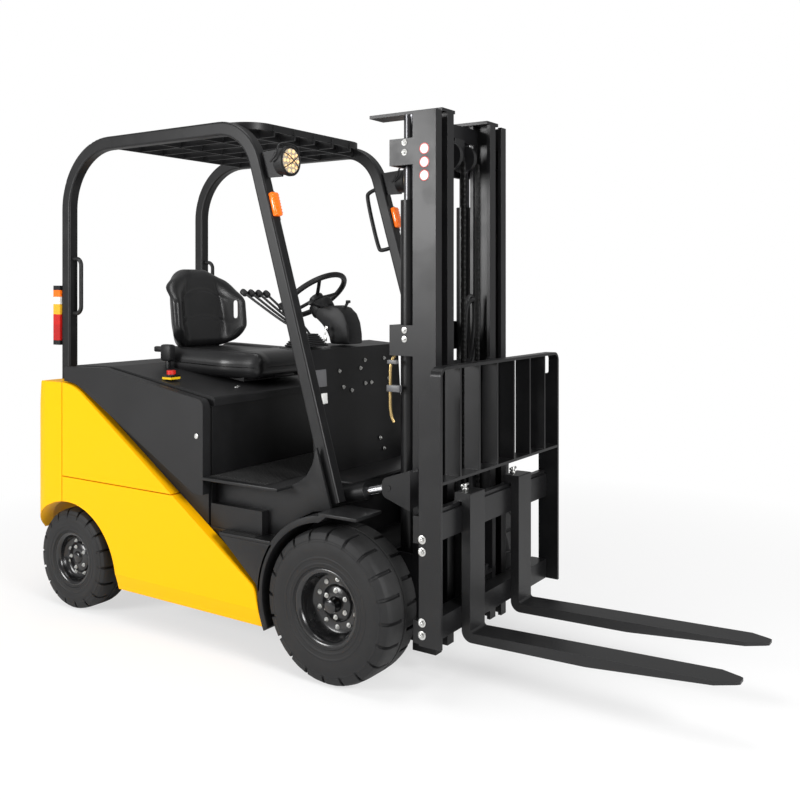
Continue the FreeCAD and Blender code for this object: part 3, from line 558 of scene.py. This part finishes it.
# %% Rims and wheel nuts
def spun_rim(name, axle, sign, width, face, rim, web):
    profile = ((28, 0), (28, 18), (32, 24), (web - 12, 27), (web - 10, 58), (web - 6, 62), (web, 66),
               (web, rim - 22), (web - 5, rim - 15), (34, rim - 8), (24, rim - 7), (14, rim - 2),
               (9, rim + 6), (9, rim + 12), (12, rim + 15), (17, rim + 13), (23, rim + 3),
               (width - 23, rim + 3), (width - 17, rim + 13), (width - 12, rim + 15),
               (width - 9, rim + 12), (width - 14, rim - 2), (width - 24, rim - 8),
               (web + 16, rim - 10), (web + 9, rim - 24), (web + 9, 34), (web + 9, 0))
    points = [(axle.x, sign * (face - depth) / 1000, axle.z + reach / 1000) for depth, reach in profile]
    mesh = bpy.data.meshes.new(name)
    mesh.from_pydata(points, [(i, i + 1) for i in range(len(points) - 1)], [])
    piece = bpy.data.objects.new(name, mesh)
    scene.collection.objects.link(piece)
    pick([piece])
    bpy.ops.object.mode_set(mode="EDIT")
    bpy.ops.mesh.select_all(action="SELECT")
    bpy.ops.mesh.spin(steps=64, angle=2 * math.pi, center=axle, axis=(0, 1, 0))
    bpy.ops.mesh.select_all(action="SELECT")
    bpy.ops.mesh.remove_doubles(threshold=0.0002)
    bpy.ops.mesh.normals_make_consistent(inside=False)
    bpy.ops.object.mode_set(mode="OBJECT")
    return piece


for end, centre, radius, width, face, rim, web, lugs, rings in (
        ("front", at(0, 0, 267), 267, 200, 536, 121, 78, 20, ((10, 83, 78), (6, 46, 67))),
        ("rear", at(-1378, 0, 212), 212, 158, 515, 100, 50, 18, ((8, 70, 50), (5, 45, 39)))):
    for side, sign in (("right", -1), ("left", 1)):
        carrier = "%s_wheel_%s" % (end, side)
        rubber = tyre_rubber("rubber_%s_%s" % (end, side), centre, radius / 1000, rim / 1000)
        tyre = lugged_tyre("lugged_tyre", centre, sign, radius, width, face, rim + 2, lugs)
        tyre = settle("lugged_tyre_%s_%s" % (end, side), [tyre], rubber, carrier, 28)
        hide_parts("tyre_%s_%s" % (end, side))
        dish = settle("dished_rim_%s_%s" % (end, side),
                      [spun_rim("rim", centre, sign, width, face, rim, web)], rim_paint, carrier, 50)
        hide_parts("rim_%s_%s" % (end, side))
        spots = []
        for number, reach, depth in rings:
            for i in range(number):
                angle = 2 * math.pi * (i + 0.5) / number
                spots.append((Vector((centre.x + reach / 1000 * math.cos(angle), sign * (face - depth) / 1000,
                                      centre.z + reach / 1000 * math.sin(angle))), OUT * -sign))
        bolts("wheel_nuts_%s_%s" % (end, side), 6.2 if end == "front" else 5.5, spots, carrier)
print("wheels made")

# %% [markdown]
# The load backrest is bolted to the carriage through its side plates, the floor cowl is held by
# a row of cap screws, and the mast's ties by pairs of bolts. Each set is one piece.

# %% Bolts on the mast, the backrest and the cowl
bolts("backrest_bolts", 10, mirrored([(at(348, -459, z), OUT) for z in (539, 499, 267, 226)]),
      "fork_carriage")
bolts("mast_tie_bolts", 8, mirrored([(at(150, -264, z), OUT) for z in (1212, 1180)]
                                    + [(at(150, -264, z), OUT) for z in (1880, 1845)]
                                    + [(at(110, -264, 390), OUT), (at(110, -264, 362), OUT)]), "mast")


def on_cowl(y, z):
    """Place on the sloping front of the cowl."""
    return at(-255 + 40 * (1125 - z) / 475, y, z)


cowl_out = Vector((475, 0, 40)).normalized()
bolts("cowl_screws", 5.5, [(on_cowl(y, z), cowl_out) for y, z in (
    (-123, 1037), (-103, 973), (-51, 956), (17, 1039), (51, 1069), (44, 976), (86, 976), (187, 1069),
    (210, 983), (122, 746), (144, 700), (-270, 760))], "root")
bolts("bearing_bolts", 8, mirrored([(at(x, -264, z), OUT) for x, z in (
    (-45, 310), (45, 320), (45, 212), (-45, 222))]), "mast")

# %% [markdown]
# A leaf chain lifts the carriage: flat plates side by side, alternate links, one pin through
# each overlap. Seen from the seat it is a dark ladder of pins. One pair of links is modelled and
# repeated. As the forks rise the chain runs out over its wheel.

# %% Lift chains
CHAIN_TOP, CHAIN_LOW, PITCH = 1850, 330, 19.0


def chain_plate(y, z, thick):
    """Flat link with round ends, its lower pin at z."""
    plate = disc(7.4, thick, Vector((0, y / 1000, z / 1000)), (0, 1, 0), sides=10)
    for vertex in plate.data.vertices:
        if vertex.co.z > z / 1000:
            vertex.co.z += PITCH / 1000
    return plate


links = [chain_plate(y, 0, 2.2) for y in (-6, 0, 6)] + [chain_plate(y, PITCH, 2.2) for y in (-3, 3)]
links += [disc(3.2, 18, Vector((0, 0, z / 1000)), (0, 1, 0), sides=8) for z in (0, PITCH)]
link_pair = joined(links)
spots = []
for side in (-52, 52):
    for i in range(int((CHAIN_TOP - CHAIN_LOW - 12) / (2 * PITCH))):
        spots.append((at(269.7, side, CHAIN_LOW + 8 + 2 * PITCH * i), Vector((0, 0, 1))))
chain_links = settle("chain_links", copies(link_pair, spots), chain_steel, "mast_upper", 30)
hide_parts("lift_chains")
at(269.7, 0, CHAIN_TOP)
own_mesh(chain_links)
print("chain faces", len(chain_links.data.polygons))

# %% [markdown]
# The seat is a vinyl tub over moulded foam: a cushion with rolls across it and raised sides, and
# a back with rolls and wings. Each starts as a block cut into small squares. Its corners are
# rounded, the rolls are pressed in as sewn channels, and a Subdivision Surface smooths the foam.

# %% Rounded block of foam
def foam(size, corner, cuts):
    """Closed block of the given half sizes in millimetres with round corners, many-faced."""
    bpy.ops.object.select_all(action="DESELECT")
    bpy.ops.mesh.primitive_cube_add(size=2)
    piece = bpy.context.object
    pick([piece])
    bpy.ops.object.mode_set(mode="EDIT")
    bpy.ops.mesh.select_all(action="SELECT")
    bpy.ops.mesh.subdivide(number_cuts=cuts)
    bpy.ops.object.mode_set(mode="OBJECT")
    for vertex in piece.data.vertices:
        full = Vector([vertex.co[i] * size[i] for i in range(3)])
        core = Vector([max(-size[i] + corner, min(size[i] - corner, full[i])) for i in range(3)])
        out = full - core
        if out.length > 1e-6:
            full = core + out.normalized() * corner
        vertex.co = full
    return piece


def ease(value, low, high):
    """0 below low, 1 above high, smooth between."""
    share = max(0.0, min(1.0, (value - low) / (high - low)))
    return share * share * (3 - 2 * share)


def channel(distance, width):
    """Depth share of a sewn channel at a distance from its seam."""
    return math.exp(-(distance / width) ** 2)


# %% Seat cushion
cushion = foam((266, 222, 54), 40, 46)
for vertex in cushion.data.vertices:
    x, y, z = vertex.co
    if z > 0:
        middle = 1 - ease(abs(y), 130, 180)
        z += 12 * ease(abs(y), 120, 185) * (1 - ease(abs(y), 196, 222)) - 8
        z -= 5 * channel(x - 20 - 0.0012 * y * y, 7) * middle
        z -= 5 * channel(abs(y) - 146, 7) * (1 - ease(x, 170, 230))
        z += 12 * ease(x, -20, 180) * (1 - ease(x, 200, 266)) * middle
    y *= 1 - 0.20 * ease(x, 90, 266) - 0.05 * ease(-x, 160, 266)
    vertex.co = at(-891 + x, y, 1052 + z - 0.03 * (x + 266))
use(cushion, "SUBSURF", levels=1, render_levels=1)
cushion = settle("seat_pad", [cushion], vinyl, "hood_body", 80)
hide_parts("seat_cushion")

# %% [markdown]
# The back is one wide shell of foam that wraps forward round the driver. Its sides thin out into
# wings, and each wing has an oval opening, which a Boolean modifier cuts with a rounded block. A
# bowed seam parts the shoulder roll from the panel below.

# %% Seat back
back = foam((48, 222, 176), 42, 48)
for vertex in back.data.vertices:
    x, y, z = vertex.co
    side = ease(abs(y), 92, 214)
    x *= 1 - 0.45 * side
    if x > 0:
        middle = 1 - ease(abs(y), 100, 150)
        x -= 6 * channel(z - 84 + 0.0022 * y * y, 6) * middle
        x -= 5 * channel(z + 36 + 0.0018 * y * y, 6) * middle
        x -= 5 * channel(abs(y) - 118 + 0.1 * z, 6) * (1 - ease(abs(z), 90, 150))
    wrap = 96 * side * (1 - 0.62 * ease(z, 20, 176)) * (1 - 0.25 * ease(-z, 90, 176))
    z -= 52 * ease(abs(y), 60, 222) * ease(z, 10, 176)
    z += 34 * ease(abs(y), 110, 222) * ease(-z, 40, 176)
    y *= 1 - 0.22 * ease(z, 20, 180) - 0.12 * ease(-z, 60, 176)
    vertex.co = at(-1150 + x + wrap - 0.10 * (z + 176), y, 1270 + z)
use(back, "SUBSURF", levels=1, render_levels=1)
opening = foam((80, 15, 42), 12, 10)
for vertex in opening.data.vertices:
    x, y, z = vertex.co
    vertex.co = at(-1082 + x, -176 + y + 0.8 * x, 1262 + z)
far_opening = opening.copy()
far_opening.data = opening.data.copy()
scene.collection.objects.link(far_opening)
for vertex in far_opening.data.vertices:
    vertex.co.y *= -1
pick([far_opening])
bpy.ops.object.mode_set(mode="EDIT")
bpy.ops.mesh.select_all(action="SELECT")
bpy.ops.mesh.normals_make_consistent(inside=False)
bpy.ops.object.mode_set(mode="OBJECT")
for cutter in (opening, far_opening):
    use(back, "BOOLEAN", operation="DIFFERENCE", object=cutter, solver="EXACT")
    bpy.data.objects.remove(cutter)
back = settle("seat_back_pad", [back], vinyl, "hood_body", 60)
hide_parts("seat_back")
print("seat faces", len(cushion.data.polygons) + len(back.data.polygons))

# %% [markdown]
# Work lamps on forklifts are a cluster of light diodes under a clear face, behind a wire guard.
# Each diode is a small warm dome on a pale reflector plate.

# %% Work lamps
def glow_material(name, colour, strength):
    material, shader, place = start_material(name)
    spots = place.noise(90.0, 2.0)
    plug(shader, {"Base Color": colour, "Roughness": 0.2 + spots * 0.1, "Emission Color": spots.mix(
        colour, tuple(c * 0.8 for c in colour[:3]) + (1,)), "Emission Strength": strength})
    return material


warm_glow = glow_material("warm_diode", (0.95, 0.62, 0.30, 1), 0.55)
reflector = paint("reflector_plate", (0.42, 0.36, 0.28, 1), 0.2, dust=0.01)
LAMP = (-263, 398, 1830)
faces, domes, guards = [], [], []
for sign in (-1, 1):
    centre = at(LAMP[0], LAMP[1] * sign, LAMP[2])
    faces.append(disc(46, 2, centre + Vector((0.001, 0, 0)), (1, 0, 0), sides=36, edge=0.5))
    for ring, number in ((0, 1), (19, 6), (37, 10)):
        for i in range(number):
            angle = 2 * math.pi * i / number
            place = centre + Vector((0.003, ring / 1000 * math.cos(angle), ring / 1000 * math.sin(angle)))
            domes.append(disc(6.8, 5, place, (1, 0, 0), sides=10, edge=1.8))
    bpy.ops.object.select_all(action="DESELECT")
    bpy.ops.mesh.primitive_torus_add(major_radius=0.051, minor_radius=0.003, major_segments=40,
                                     minor_segments=8, location=centre + Vector((0.001, 0, 0)),
                                     rotation=(0, math.radians(90), 0))
    guards.append(bpy.context.object)
    for tilt in (35, 145):
        reach = Vector((0, math.cos(math.radians(tilt)), math.sin(math.radians(tilt)))) * 0.05
        guards.append(pipe(1.8, [centre - reach, centre - reach * 0.8 + Vector((0.016, 0, 0)),
                                 centre + reach * 0.8 + Vector((0.016, 0, 0)), centre + reach], 2))
    brace = [(-34, -62, -6), (-2, -64, 14), (0, -58, 58), (0, 0, 66), (0, 58, 58), (-2, 64, 14), (-34, 62, -6)]
    guards.append(pipe(4, [centre + Vector((a - 12, b, c)) / 1000 for a, b, c in brace]))
settle("lamp_reflectors", faces, reflector, "root")
settle("lamp_diodes", domes, warm_glow, "root")
settle("lamp_guards", guards, black_paint, "root")

# %% [markdown]
# Plates with a bent or curved outline recur all over the truck. Their outline is laid down as one
# face, extruded to its thickness as one would by hand, and its edges are broken.

# %% Plates from an outline
def plate(outline, start, depth, across=True, edge=1.0):
    """Outline of (x, z) run from Y = start to the left, or of (x, y) run upwards from Z = start."""
    if across:
        points, run = [at(x, start, z) for x, z in outline], (0, depth / 1000, 0)
    else:
        points, run = [at(x, y, start) for x, y in outline], (0, 0, depth / 1000)
    mesh = bpy.data.meshes.new("plate")
    mesh.from_pydata(points, [], [tuple(range(len(points)))])
    piece = bpy.data.objects.new("plate", mesh)
    scene.collection.objects.link(piece)
    pick([piece])
    bpy.ops.object.mode_set(mode="EDIT")
    bpy.ops.mesh.select_all(action="SELECT")
    bpy.ops.mesh.extrude_region_move(TRANSFORM_OT_translate={"value": run})
    bpy.ops.mesh.select_all(action="SELECT")
    bpy.ops.mesh.normals_make_consistent(inside=False)
    bpy.ops.object.mode_set(mode="OBJECT")
    if edge:
        break_edges(piece, edge)
    return piece


def arc(radius, start, end, count, centre=(0, 267)):
    """Places (x, z) round a wheel's axle from one angle to another in degrees."""
    return [(centre[0] + radius * math.cos(math.radians(start + (end - start) * i / count)),
             centre[1] + radius * math.sin(math.radians(start + (end - start) * i / count)))
            for i in range(count + 1)]


# %% [markdown]
# The floor is a wide folded plate with a toe board. Under its edge a recess makes the step: a
# tread, and a riser behind it. The fenders are a rolled strip round the wheel with a flat top.

# %% Floor, steps and fenders
SIDE, SHEET = 526, 12        # half width of the body and thickness of its plates, in millimetres
FLOOR_UNDERSIDE, TREAD_UNDERSIDE, RISER = 638, 446, 435
floor_outline = [(-589, -SIDE), (-219, -SIDE), (-219, -290), (-60, -290), (-60, 290), (-219, 290),
                 (-219, SIDE), (-589, SIDE)]
floor_parts, fender_parts = [plate(floor_outline, FLOOR_UNDERSIDE, SHEET, False, 3)], []
for sign in (-1, 1):
    tread = [(-502, sign * SIDE), (-252, sign * SIDE), (-252, sign * 436), (-589, sign * 436),
             (-589, sign * 484), (-502, sign * 484)]
    floor_parts.append(plate(tread, TREAD_UNDERSIDE, SHEET, False, 2))
    riser = [(-589, 457), (-252, 457), (-226, 490), (-180, 535), (-120, 566), (-38, 582), (-105, 795),
             (-122, 735), (-150, 690), (-190, 662), (-222, 651), (-222, 639), (-589, 639)]
    floor_parts.append(plate(riser, min(sign * RISER, sign * (RISER + SHEET)), SHEET))
    ring = arc(314, 205.5, 96, 26) + [(-33, 590), (130, 590), (130, 578), (0, 578)] + arc(290, 96, 204.5, 26)
    fender_parts.append(plate(ring, -SIDE if sign < 0 else SIDE - 151, 151, True, 3))
    panel = [(-499, 446), (-318, 294.5), (-309, 267)] + arc(303, 178, 142, 8) + [(-244, 446)]
    fender_parts.append(plate(panel, -SIDE if sign < 0 else SIDE - SHEET, SHEET, True, 1.5))
floor_piece = settle("folded_floor", floor_parts, black_paint, "root")
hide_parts("floor_plate")
fender_piece = settle("rolled_fenders", fender_parts, black_paint, "root")
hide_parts("front_fenders")

# %% [markdown]
# The driver's controls: a steering wheel on a hooded column, four thin levers with round knobs
# that rise from a ribbed bellows, a starter key with its tag, and two pedals. The bellows is a
# stack of flat rounded frames, each a little smaller than the one below.

# %% Steering wheel and column
LEAN = math.radians(38)
RIM_RADIUS = 0.14
steer_axis = Vector((-math.sin(LEAN), 0, math.cos(LEAN)))
steer_ahead = Vector((math.cos(LEAN), 0, math.sin(LEAN)))
steer_hub = at(-470, 0, 1330)


def steer_out(turn):
    """Direction from the hub to the rim, at an angle in degrees from straight ahead."""
    return steer_ahead * math.cos(math.radians(turn)) + Vector((0, 1, 0)) * math.sin(math.radians(turn))


bpy.ops.object.select_all(action="DESELECT")
bpy.ops.mesh.primitive_torus_add(major_radius=RIM_RADIUS, minor_radius=0.0115, major_segments=72,
                                 minor_segments=14, location=steer_hub, rotation=(0, -LEAN, 0))
wheel_parts = [bpy.context.object, disc(30, 26, steer_hub - steer_axis * 0.018, steer_axis, 32, 5)]
for turn in (85, 205, 325):
    out = steer_out(turn)
    middle = steer_hub + out * 0.07 - steer_axis * 0.012
    wheel_parts.append(pipe(7.5, [steer_hub - steer_axis * 0.014, middle, steer_hub + out * 0.135], 3))
spinner = steer_hub + steer_out(215) * RIM_RADIUS
wheel_parts += [bar(5, spinner, spinner + steer_axis * 0.024),
                disc(15, 26, spinner + steer_axis * 0.034, steer_axis, 24, 7)]
wheel_piece = settle("steering_wheel_rim", wheel_parts, black_plastic, "steering_wheel_body", 50)
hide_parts("steering_wheel")
hood_line = [(-257, 1136), (-259, 1178), (-267, 1222), (-284, 1258), (-312, 1282), (-350, 1291),
             (-392, 1288), (-424, 1279), (-441, 1262), (-428, 1238), (-398, 1214), (-374, 1188),
             (-360, 1162), (-354, 1136)]
column_parts = [plate(hood_line, -48, 96, True, 9),
                disc(50, 46, steer_hub - steer_axis * 0.062, steer_axis, 36, 8)]
column_parts += [disc(30 - 3 * i, 6, steer_hub - steer_axis * (0.038 - 0.005 * i), steer_axis, 28, 2)
                 for i in range(2)]
column_parts += [bar(5, at(-404, -50, 1284), at(-396, -112, 1300)),
                 disc(10, 24, at(-395, -116, 1301), Vector((8, -60, 16)), edge=3),
                 bar(6, at(-318, 6, 1282), at(-306, 8, 1302)), disc(10, 12, at(-303, 8, 1306), edge=3)]
column_piece = settle("column_hood", column_parts, black_plastic, "root", 45)
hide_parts("steering_column")

# %% [markdown]
# The levers are bent rods that run through the bellows to a knob each. The key hangs from its lock
# on the column's right side, with its tag below.

# %% Levers and key
lever_parts = []
for i in range(7):
    inset = 4.5 * i
    lever_parts.append(block((-404 + inset, -270 + inset, 1135.5 + 7 * i),
                             (-280 - inset, -150 - inset, 1142 + 7 * i), 3))
for i, y in enumerate((-252, -226, -200, -174)):
    foot, knob = at(-352, y, 1176), at(-624 + 17 * i, y - 8, 1343 - 2 * i)
    bend = [foot + Vector((-0.035, 0, 0.042)), foot + Vector((-0.085, 0, 0.058))]
    lever_parts.append(pipe(5, [foot] + bend + [knob], 3))
    lever_parts.append(disc(13, 30, knob, knob - foot, 20, 7))
lever_piece = settle("lever_bank", lever_parts, black_plastic, "root", 45)
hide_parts("control_levers")
settle("starter_key", [disc(9, 10, at(-352, -70, 1200), (0, 1, 0), edge=1),
                       block((-355, -80, 1172), (-349, -78, 1200), 0.5),
                       block((-359, -81, 1148), (-345, -77, 1174), 1)], zinc, "root")

# %% [markdown]
# Blank plates, screws and pipes dress the cowl and the mast's right side: a grey and a white
# plate on the cowl, three round signs left blank on the mast, and the brass return pipe of the
# lift cylinder in its clamp.

# %% Plates and pipes
def cowl_plate(y0, y1, z0, z1):
    """Thin plate on the sloping front of the cowl."""
    piece = block((0, y0, z0), (1.4, y1, z1), 0.3)
    for vertex in piece.data.vertices:
        vertex.co.x += (-255 + 40 * (1125 - vertex.co.z * 1000) / 475) / 1000
    return piece


settle("grey_plate", [cowl_plate(-278, -208, 985, 1050)], grey_paint, "root")
settle("white_plate", [cowl_plate(-246, -210, 920, 960)], white_paint, "root")
sign_heights = (1852, 1805, 1758)
settle("blank_signs", [disc(20, 1.2, at(234, -264.5, z), (0, -1, 0), sides=32) for z in sign_heights],
       white_paint, "mast")
rims = []
for z in sign_heights:
    bpy.ops.object.select_all(action="DESELECT")
    bpy.ops.mesh.primitive_torus_add(major_radius=0.0185, minor_radius=0.0016, major_segments=32,
                                     minor_segments=6, location=at(234, -265, z),
                                     rotation=(math.radians(90), 0, 0))
    rims.append(bpy.context.object)
settle("sign_rings", rims, red_paint, "mast")
settle("return_pipe", [pipe(6, [at(100, -255, 880), at(88, -262, 900), at(88, -262, 1010),
                                at(88, -262, 1100), at(98, -250, 1118)])], brass, "mast")
settle("pipe_clamp", [block((78, -272, 990), (134, -254, 1014), 2), block((80, -272, 1090), (120, -254, 1104), 2)],
       grey_paint, "mast")
hoses = []
for y in (-128, 128):
    hoses.append(pipe(9, [at(200, y, 420), at(200, y, 700), at(200, y, 900), at(200, y * 0.98, 1000)]))
for x, drop in ((214, 0), (236, 14)):
    hoses.append(pipe(8, [at(196, 84, 1060), at(200, 86, 1230), at(204, 92, 1322 - drop), at(x, 110, 1336 - drop),
                          at(x + 4, 124, 1300 - drop), at(x, 126, 1180), at(200, 126, 1060)]))
settle("lift_hoses", hoses, black_plastic, "mast_upper")

# %% [markdown]
# Each fork is held in its notch by a spring pin with a small cross handle on top of its shank.

# %% Fork pins
pins = []
for sign in (-1, 1):
    y = sign * 185
    pins += [bar(8, at(352, y, 655), at(352, y, 676)), bar(5, at(352, y - 22, 672), at(352, y + 22, 672)),
             disc(13, 6, at(352, y, 658), edge=1)]
settle("fork_pins", pins, zinc, "fork_carriage")

# %% [markdown]
# On the body: a ribbed rubber mat on the floor and the step, a key lock on the battery cover,
# two buttons on the hood, the seat's slide lever and belt latch, and the tow pin with its ring in
# the counterweight.

# %% Floor mats
def ribbed_mat(low, high, pitch):
    """Mat with raised ribs along the truck's width."""
    pieces = [block(low, (high[0], high[1], low[2] + 2), 0.6)]
    x = low[0] + pitch
    while x < high[0] - pitch / 2:
        pieces.append(block((x, low[1] + 12, low[2] + 1.5), (x + pitch * 0.45, high[1] - 12, high[2]), 0.5))
        x += pitch
    return pieces


settle("floor_mat", ribbed_mat((-575, -500, 650.3), (-290, 400, 655), 16), mat_rubber, "root")
step_mats = []
for sign in (-1, 1):
    low, high = sorted((sign * 520, sign * 452))
    step_mats += ribbed_mat((-490, low, 458.4), (-330, high, 462), 14)
settle("step_mats", step_mats, mat_rubber, "root")

# %% [markdown]
# A driver climbs in from the left, so a bent tube on the left front pillar gives a hold.

# %% Entry handle
handle_line = ((-441, 1803), (-480, 1792), (-492, 1770), (-428, 1538), (-410, 1526), (-366, 1538))
settle("entry_handle", [pipe(9, [at(x, 401, z) for x, z in handle_line])], black_paint, "root")

# %% [markdown]
# Small hardware: the locks, the pulls, the seat's slides, the belt's latch and the tow pin.

# %% Locks, pulls, latch and tow pin
settle("cover_lock", [disc(10, 5, at(-622, s * 523.5, 801), (0, s, 0), edge=1.2) for s in (-1, 1)], zinc, "root")
settle("hood_pulls", [disc(8, 4, at(x, y, 960), (0.15, 0, 1), edge=1.2)
                      for x, y in ((-672, -252), (-690, -222))], zinc, "hood_body")
settle("seat_slides", [block((-1120, s * 176 - 7, 1006), (-740, s * 176 + 7, 1016), 2) for s in (-1, 1)]
       + [bar(6, at(-720, -60, 996), at(-640, -60, 992)), bar(6, at(-640, -60, 992), at(-636, 60, 992))],
       black_paint, "hood_body")
settle("belt_box", [block((-1100, -272, 1050), (-1040, -236, 1120), 9),
                    block((-1080, -262, 1004), (-1060, -244, 1054), 4),
                    block((-1150, -262, 1086), (-1090, -240, 1110), 6)],
       black_plastic, "hood_body")
tow_x = -1378 - 322 + 46
settle("tow_pin", [bar(15, at(tow_x, 0, 345), at(tow_x, 0, 500), 20), disc(24, 8, at(tow_x, 0, 468), edge=2)],
       zinc, "root")
bpy.ops.object.select_all(action="DESELECT")
bpy.ops.mesh.primitive_torus_add(major_radius=0.022, minor_radius=0.0045, major_segments=28, minor_segments=8,
                                 location=at(tow_x, 0, 512), rotation=(math.radians(90), 0, 0))
settle("tow_ring", [bpy.context.object], zinc, "root")

# %% [markdown]
# Pedals have ribbed rubber pads on flat steel arms that hang from a boss behind the cowl.

# %% Pedals
pedal_parts = []
for y, width in ((-120, 60), (10, 74)):
    middle = y + width / 2
    pedal_parts.append(plate([(-350, 700), (-342, 696), (-312, 762), (-320, 766)], y, width, True, 2))
    pedal_parts.append(bar(7, at(-322, middle, 742), at(-232, middle, 770)))
    pedal_parts.append(bar(13, at(-248, middle, 765), at(-236, middle, 769), 18))
    for i in range(5):
        x, z = -346.5 + 6.2 * i, 707 + 12.4 * i
        pedal_parts.append(bar(2.6, at(x, y + 5, z), at(x, y + width - 5, z), 8, 0.4))
pedal_piece = settle("ribbed_pedals", pedal_parts, mat_rubber, "root")
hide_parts("pedals")

# %% [markdown]
# The amber turn lamps sit on the front edge of the pillars, in line with them, on black plates.

# %% Turn lamps
def on_pillar_face(z, y):
    """Place on the front face of a front pillar."""
    return at(-30 - (z - 556) * math.tan(rake), y, z)


pillar_up = Vector((-math.sin(rake), 0, math.cos(rake)))


def pillar_block(z, y, half, width, start, end, edge):
    """Block on the pillar's face, in line with it, in millimetres."""
    bpy.ops.object.select_all(action="DESELECT")
    bpy.ops.mesh.primitive_cube_add(size=1)
    piece = bpy.context.object
    base = on_pillar_face(z, y)
    for vertex in piece.data.vertices:
        out = (start + (vertex.co.x + 0.5) * (end - start)) / 1000
        vertex.co = base + pillar_out * out + pillar_up * vertex.co.z * half * 0.002 + Vector(
            (0, vertex.co.y * width / 1000, 0))
    break_edges(piece, edge)
    return piece


lenses, backs = [], []
for sign in (-1, 1):
    backs.append(pillar_block(1669, sign * 403, 57, 50, 0.3, 5, 1.5))
    lens = pillar_block(1669, sign * 403, 46, 38, 5, 27, 6)
    lenses.append(lens)
    for i in range(-3, 4):
        lenses.append(pillar_block(1669 + 11 * i, sign * 403, 2.2, 34, 25, 28, 0.8))
lens_piece = settle("turn_lamp_lenses", lenses, amber_glass, "root", 45)
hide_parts("turn_lamps")
settle("turn_lamp_backs", backs, black_plastic, "root")

# %% [markdown]
# The stage is a plain pale floor under soft studio light. The backdrop is the world itself: a
# Light Path node shows the camera pure white, while the light that it gives stays moderate. The
# floor fades to the same white a few metres out, so that no horizon cuts the picture, and keeps
# the soft shadow near the wheels.

# %% Floor
bpy.ops.object.select_all(action="DESELECT")
bpy.ops.mesh.primitive_plane_add(size=60, location=(0, 0, -0.0005))
floor = bpy.context.object
floor.name = "floor"
floor_material, floor_shader, floor_place = start_material("pale_floor")
plug(floor_shader, {"Base Color": grey(0.86), "Roughness": 0.75, "Specular IOR Level": 0.1})
floor_tree = floor_material.node_tree
floor_white = floor_tree.nodes.new("ShaderNodeEmission")
floor_white.inputs["Color"].default_value = grey(1.0)
floor_mix = floor_tree.nodes.new("ShaderNodeMixShader")
floor_rays = floor_tree.nodes.new("ShaderNodeLightPath")
looked_at = Wire(floor_tree, floor_rays.outputs["Is Camera Ray"])
far = floor_place.from_line((0, 0, 0), (1, 1, 0)).ramp(1.3, 3.4, 0.62, 1.0)
floor_tree.links.new((looked_at * far).socket, floor_mix.inputs[0])
floor_tree.links.new(floor_shader.outputs[0], floor_mix.inputs[1])
floor_tree.links.new(floor_white.outputs[0], floor_mix.inputs[2])
floor_tree.links.new(floor_mix.outputs[0], floor_tree.nodes["Material Output"].inputs["Surface"])
floor.data.materials.append(floor_material)

# %% World
world = bpy.data.worlds.new("studio")
scene.world = world
world.use_nodes = True
world_tree = world.node_tree
backdrop = world_tree.nodes["Background"]
backdrop.inputs["Color"].default_value = grey(1.0)
rays = world_tree.nodes.new("ShaderNodeLightPath")
seen = Wire(world_tree, rays.outputs["Is Camera Ray"])
through = Wire(world_tree, rays.outputs["Is Transmission Ray"])
WORLD_LIGHT = 0.42
strength = seen.math("MAXIMUM", through).ramp(0.0, 1.0, WORLD_LIGHT, 1.0)
world_tree.links.new(strength.socket, backdrop.inputs["Strength"])


# %% Lamps
def area_lamp(name, place, target, size, power):
    data = bpy.data.lights.new(name, "AREA")
    data.shape = "DISK"
    data.size = size
    data.energy = power
    lamp = bpy.data.objects.new(name, data)
    scene.collection.objects.link(lamp)
    lamp.location = place
    lamp.rotation_euler = (Vector(target) - Vector(place)).to_track_quat("-Z", "Y").to_euler()


area_lamp("key_ahead", (5.5, -1.8, 3.0), (0.3, 0, 0.9), 2.2, 300)
area_lamp("top_soft", (-0.5, -1.0, 6.0), (0, 0, 0.8), 3.0, 110)
area_lamp("side_soft", (-2.8, -5.5, 2.4), (-0.4, 0, 0.8), 2.2, 250)

# %% [markdown]
# The camera stands where the photographer stood: level, at chest height, a good three metres off
# the truck's right front corner. The lens shift stands in for the crop of the photograph.

# %% Camera
camera_data = bpy.data.cameras.new("camera")
camera_data.sensor_width = 36.0
camera_data.lens = 42.745
camera_data.shift_x = 0.0052
camera_data.shift_y = -0.1412
camera = bpy.data.objects.new("camera", camera_data)
scene.collection.objects.link(camera)
camera.location = (2.0105 + AXLE_X, -3.0850, 1.3656)
camera.rotation_euler = (math.radians(90), 0, math.radians(33.92))
scene.camera = camera

# %% Colour management
scene.view_settings.view_transform = "Standard"
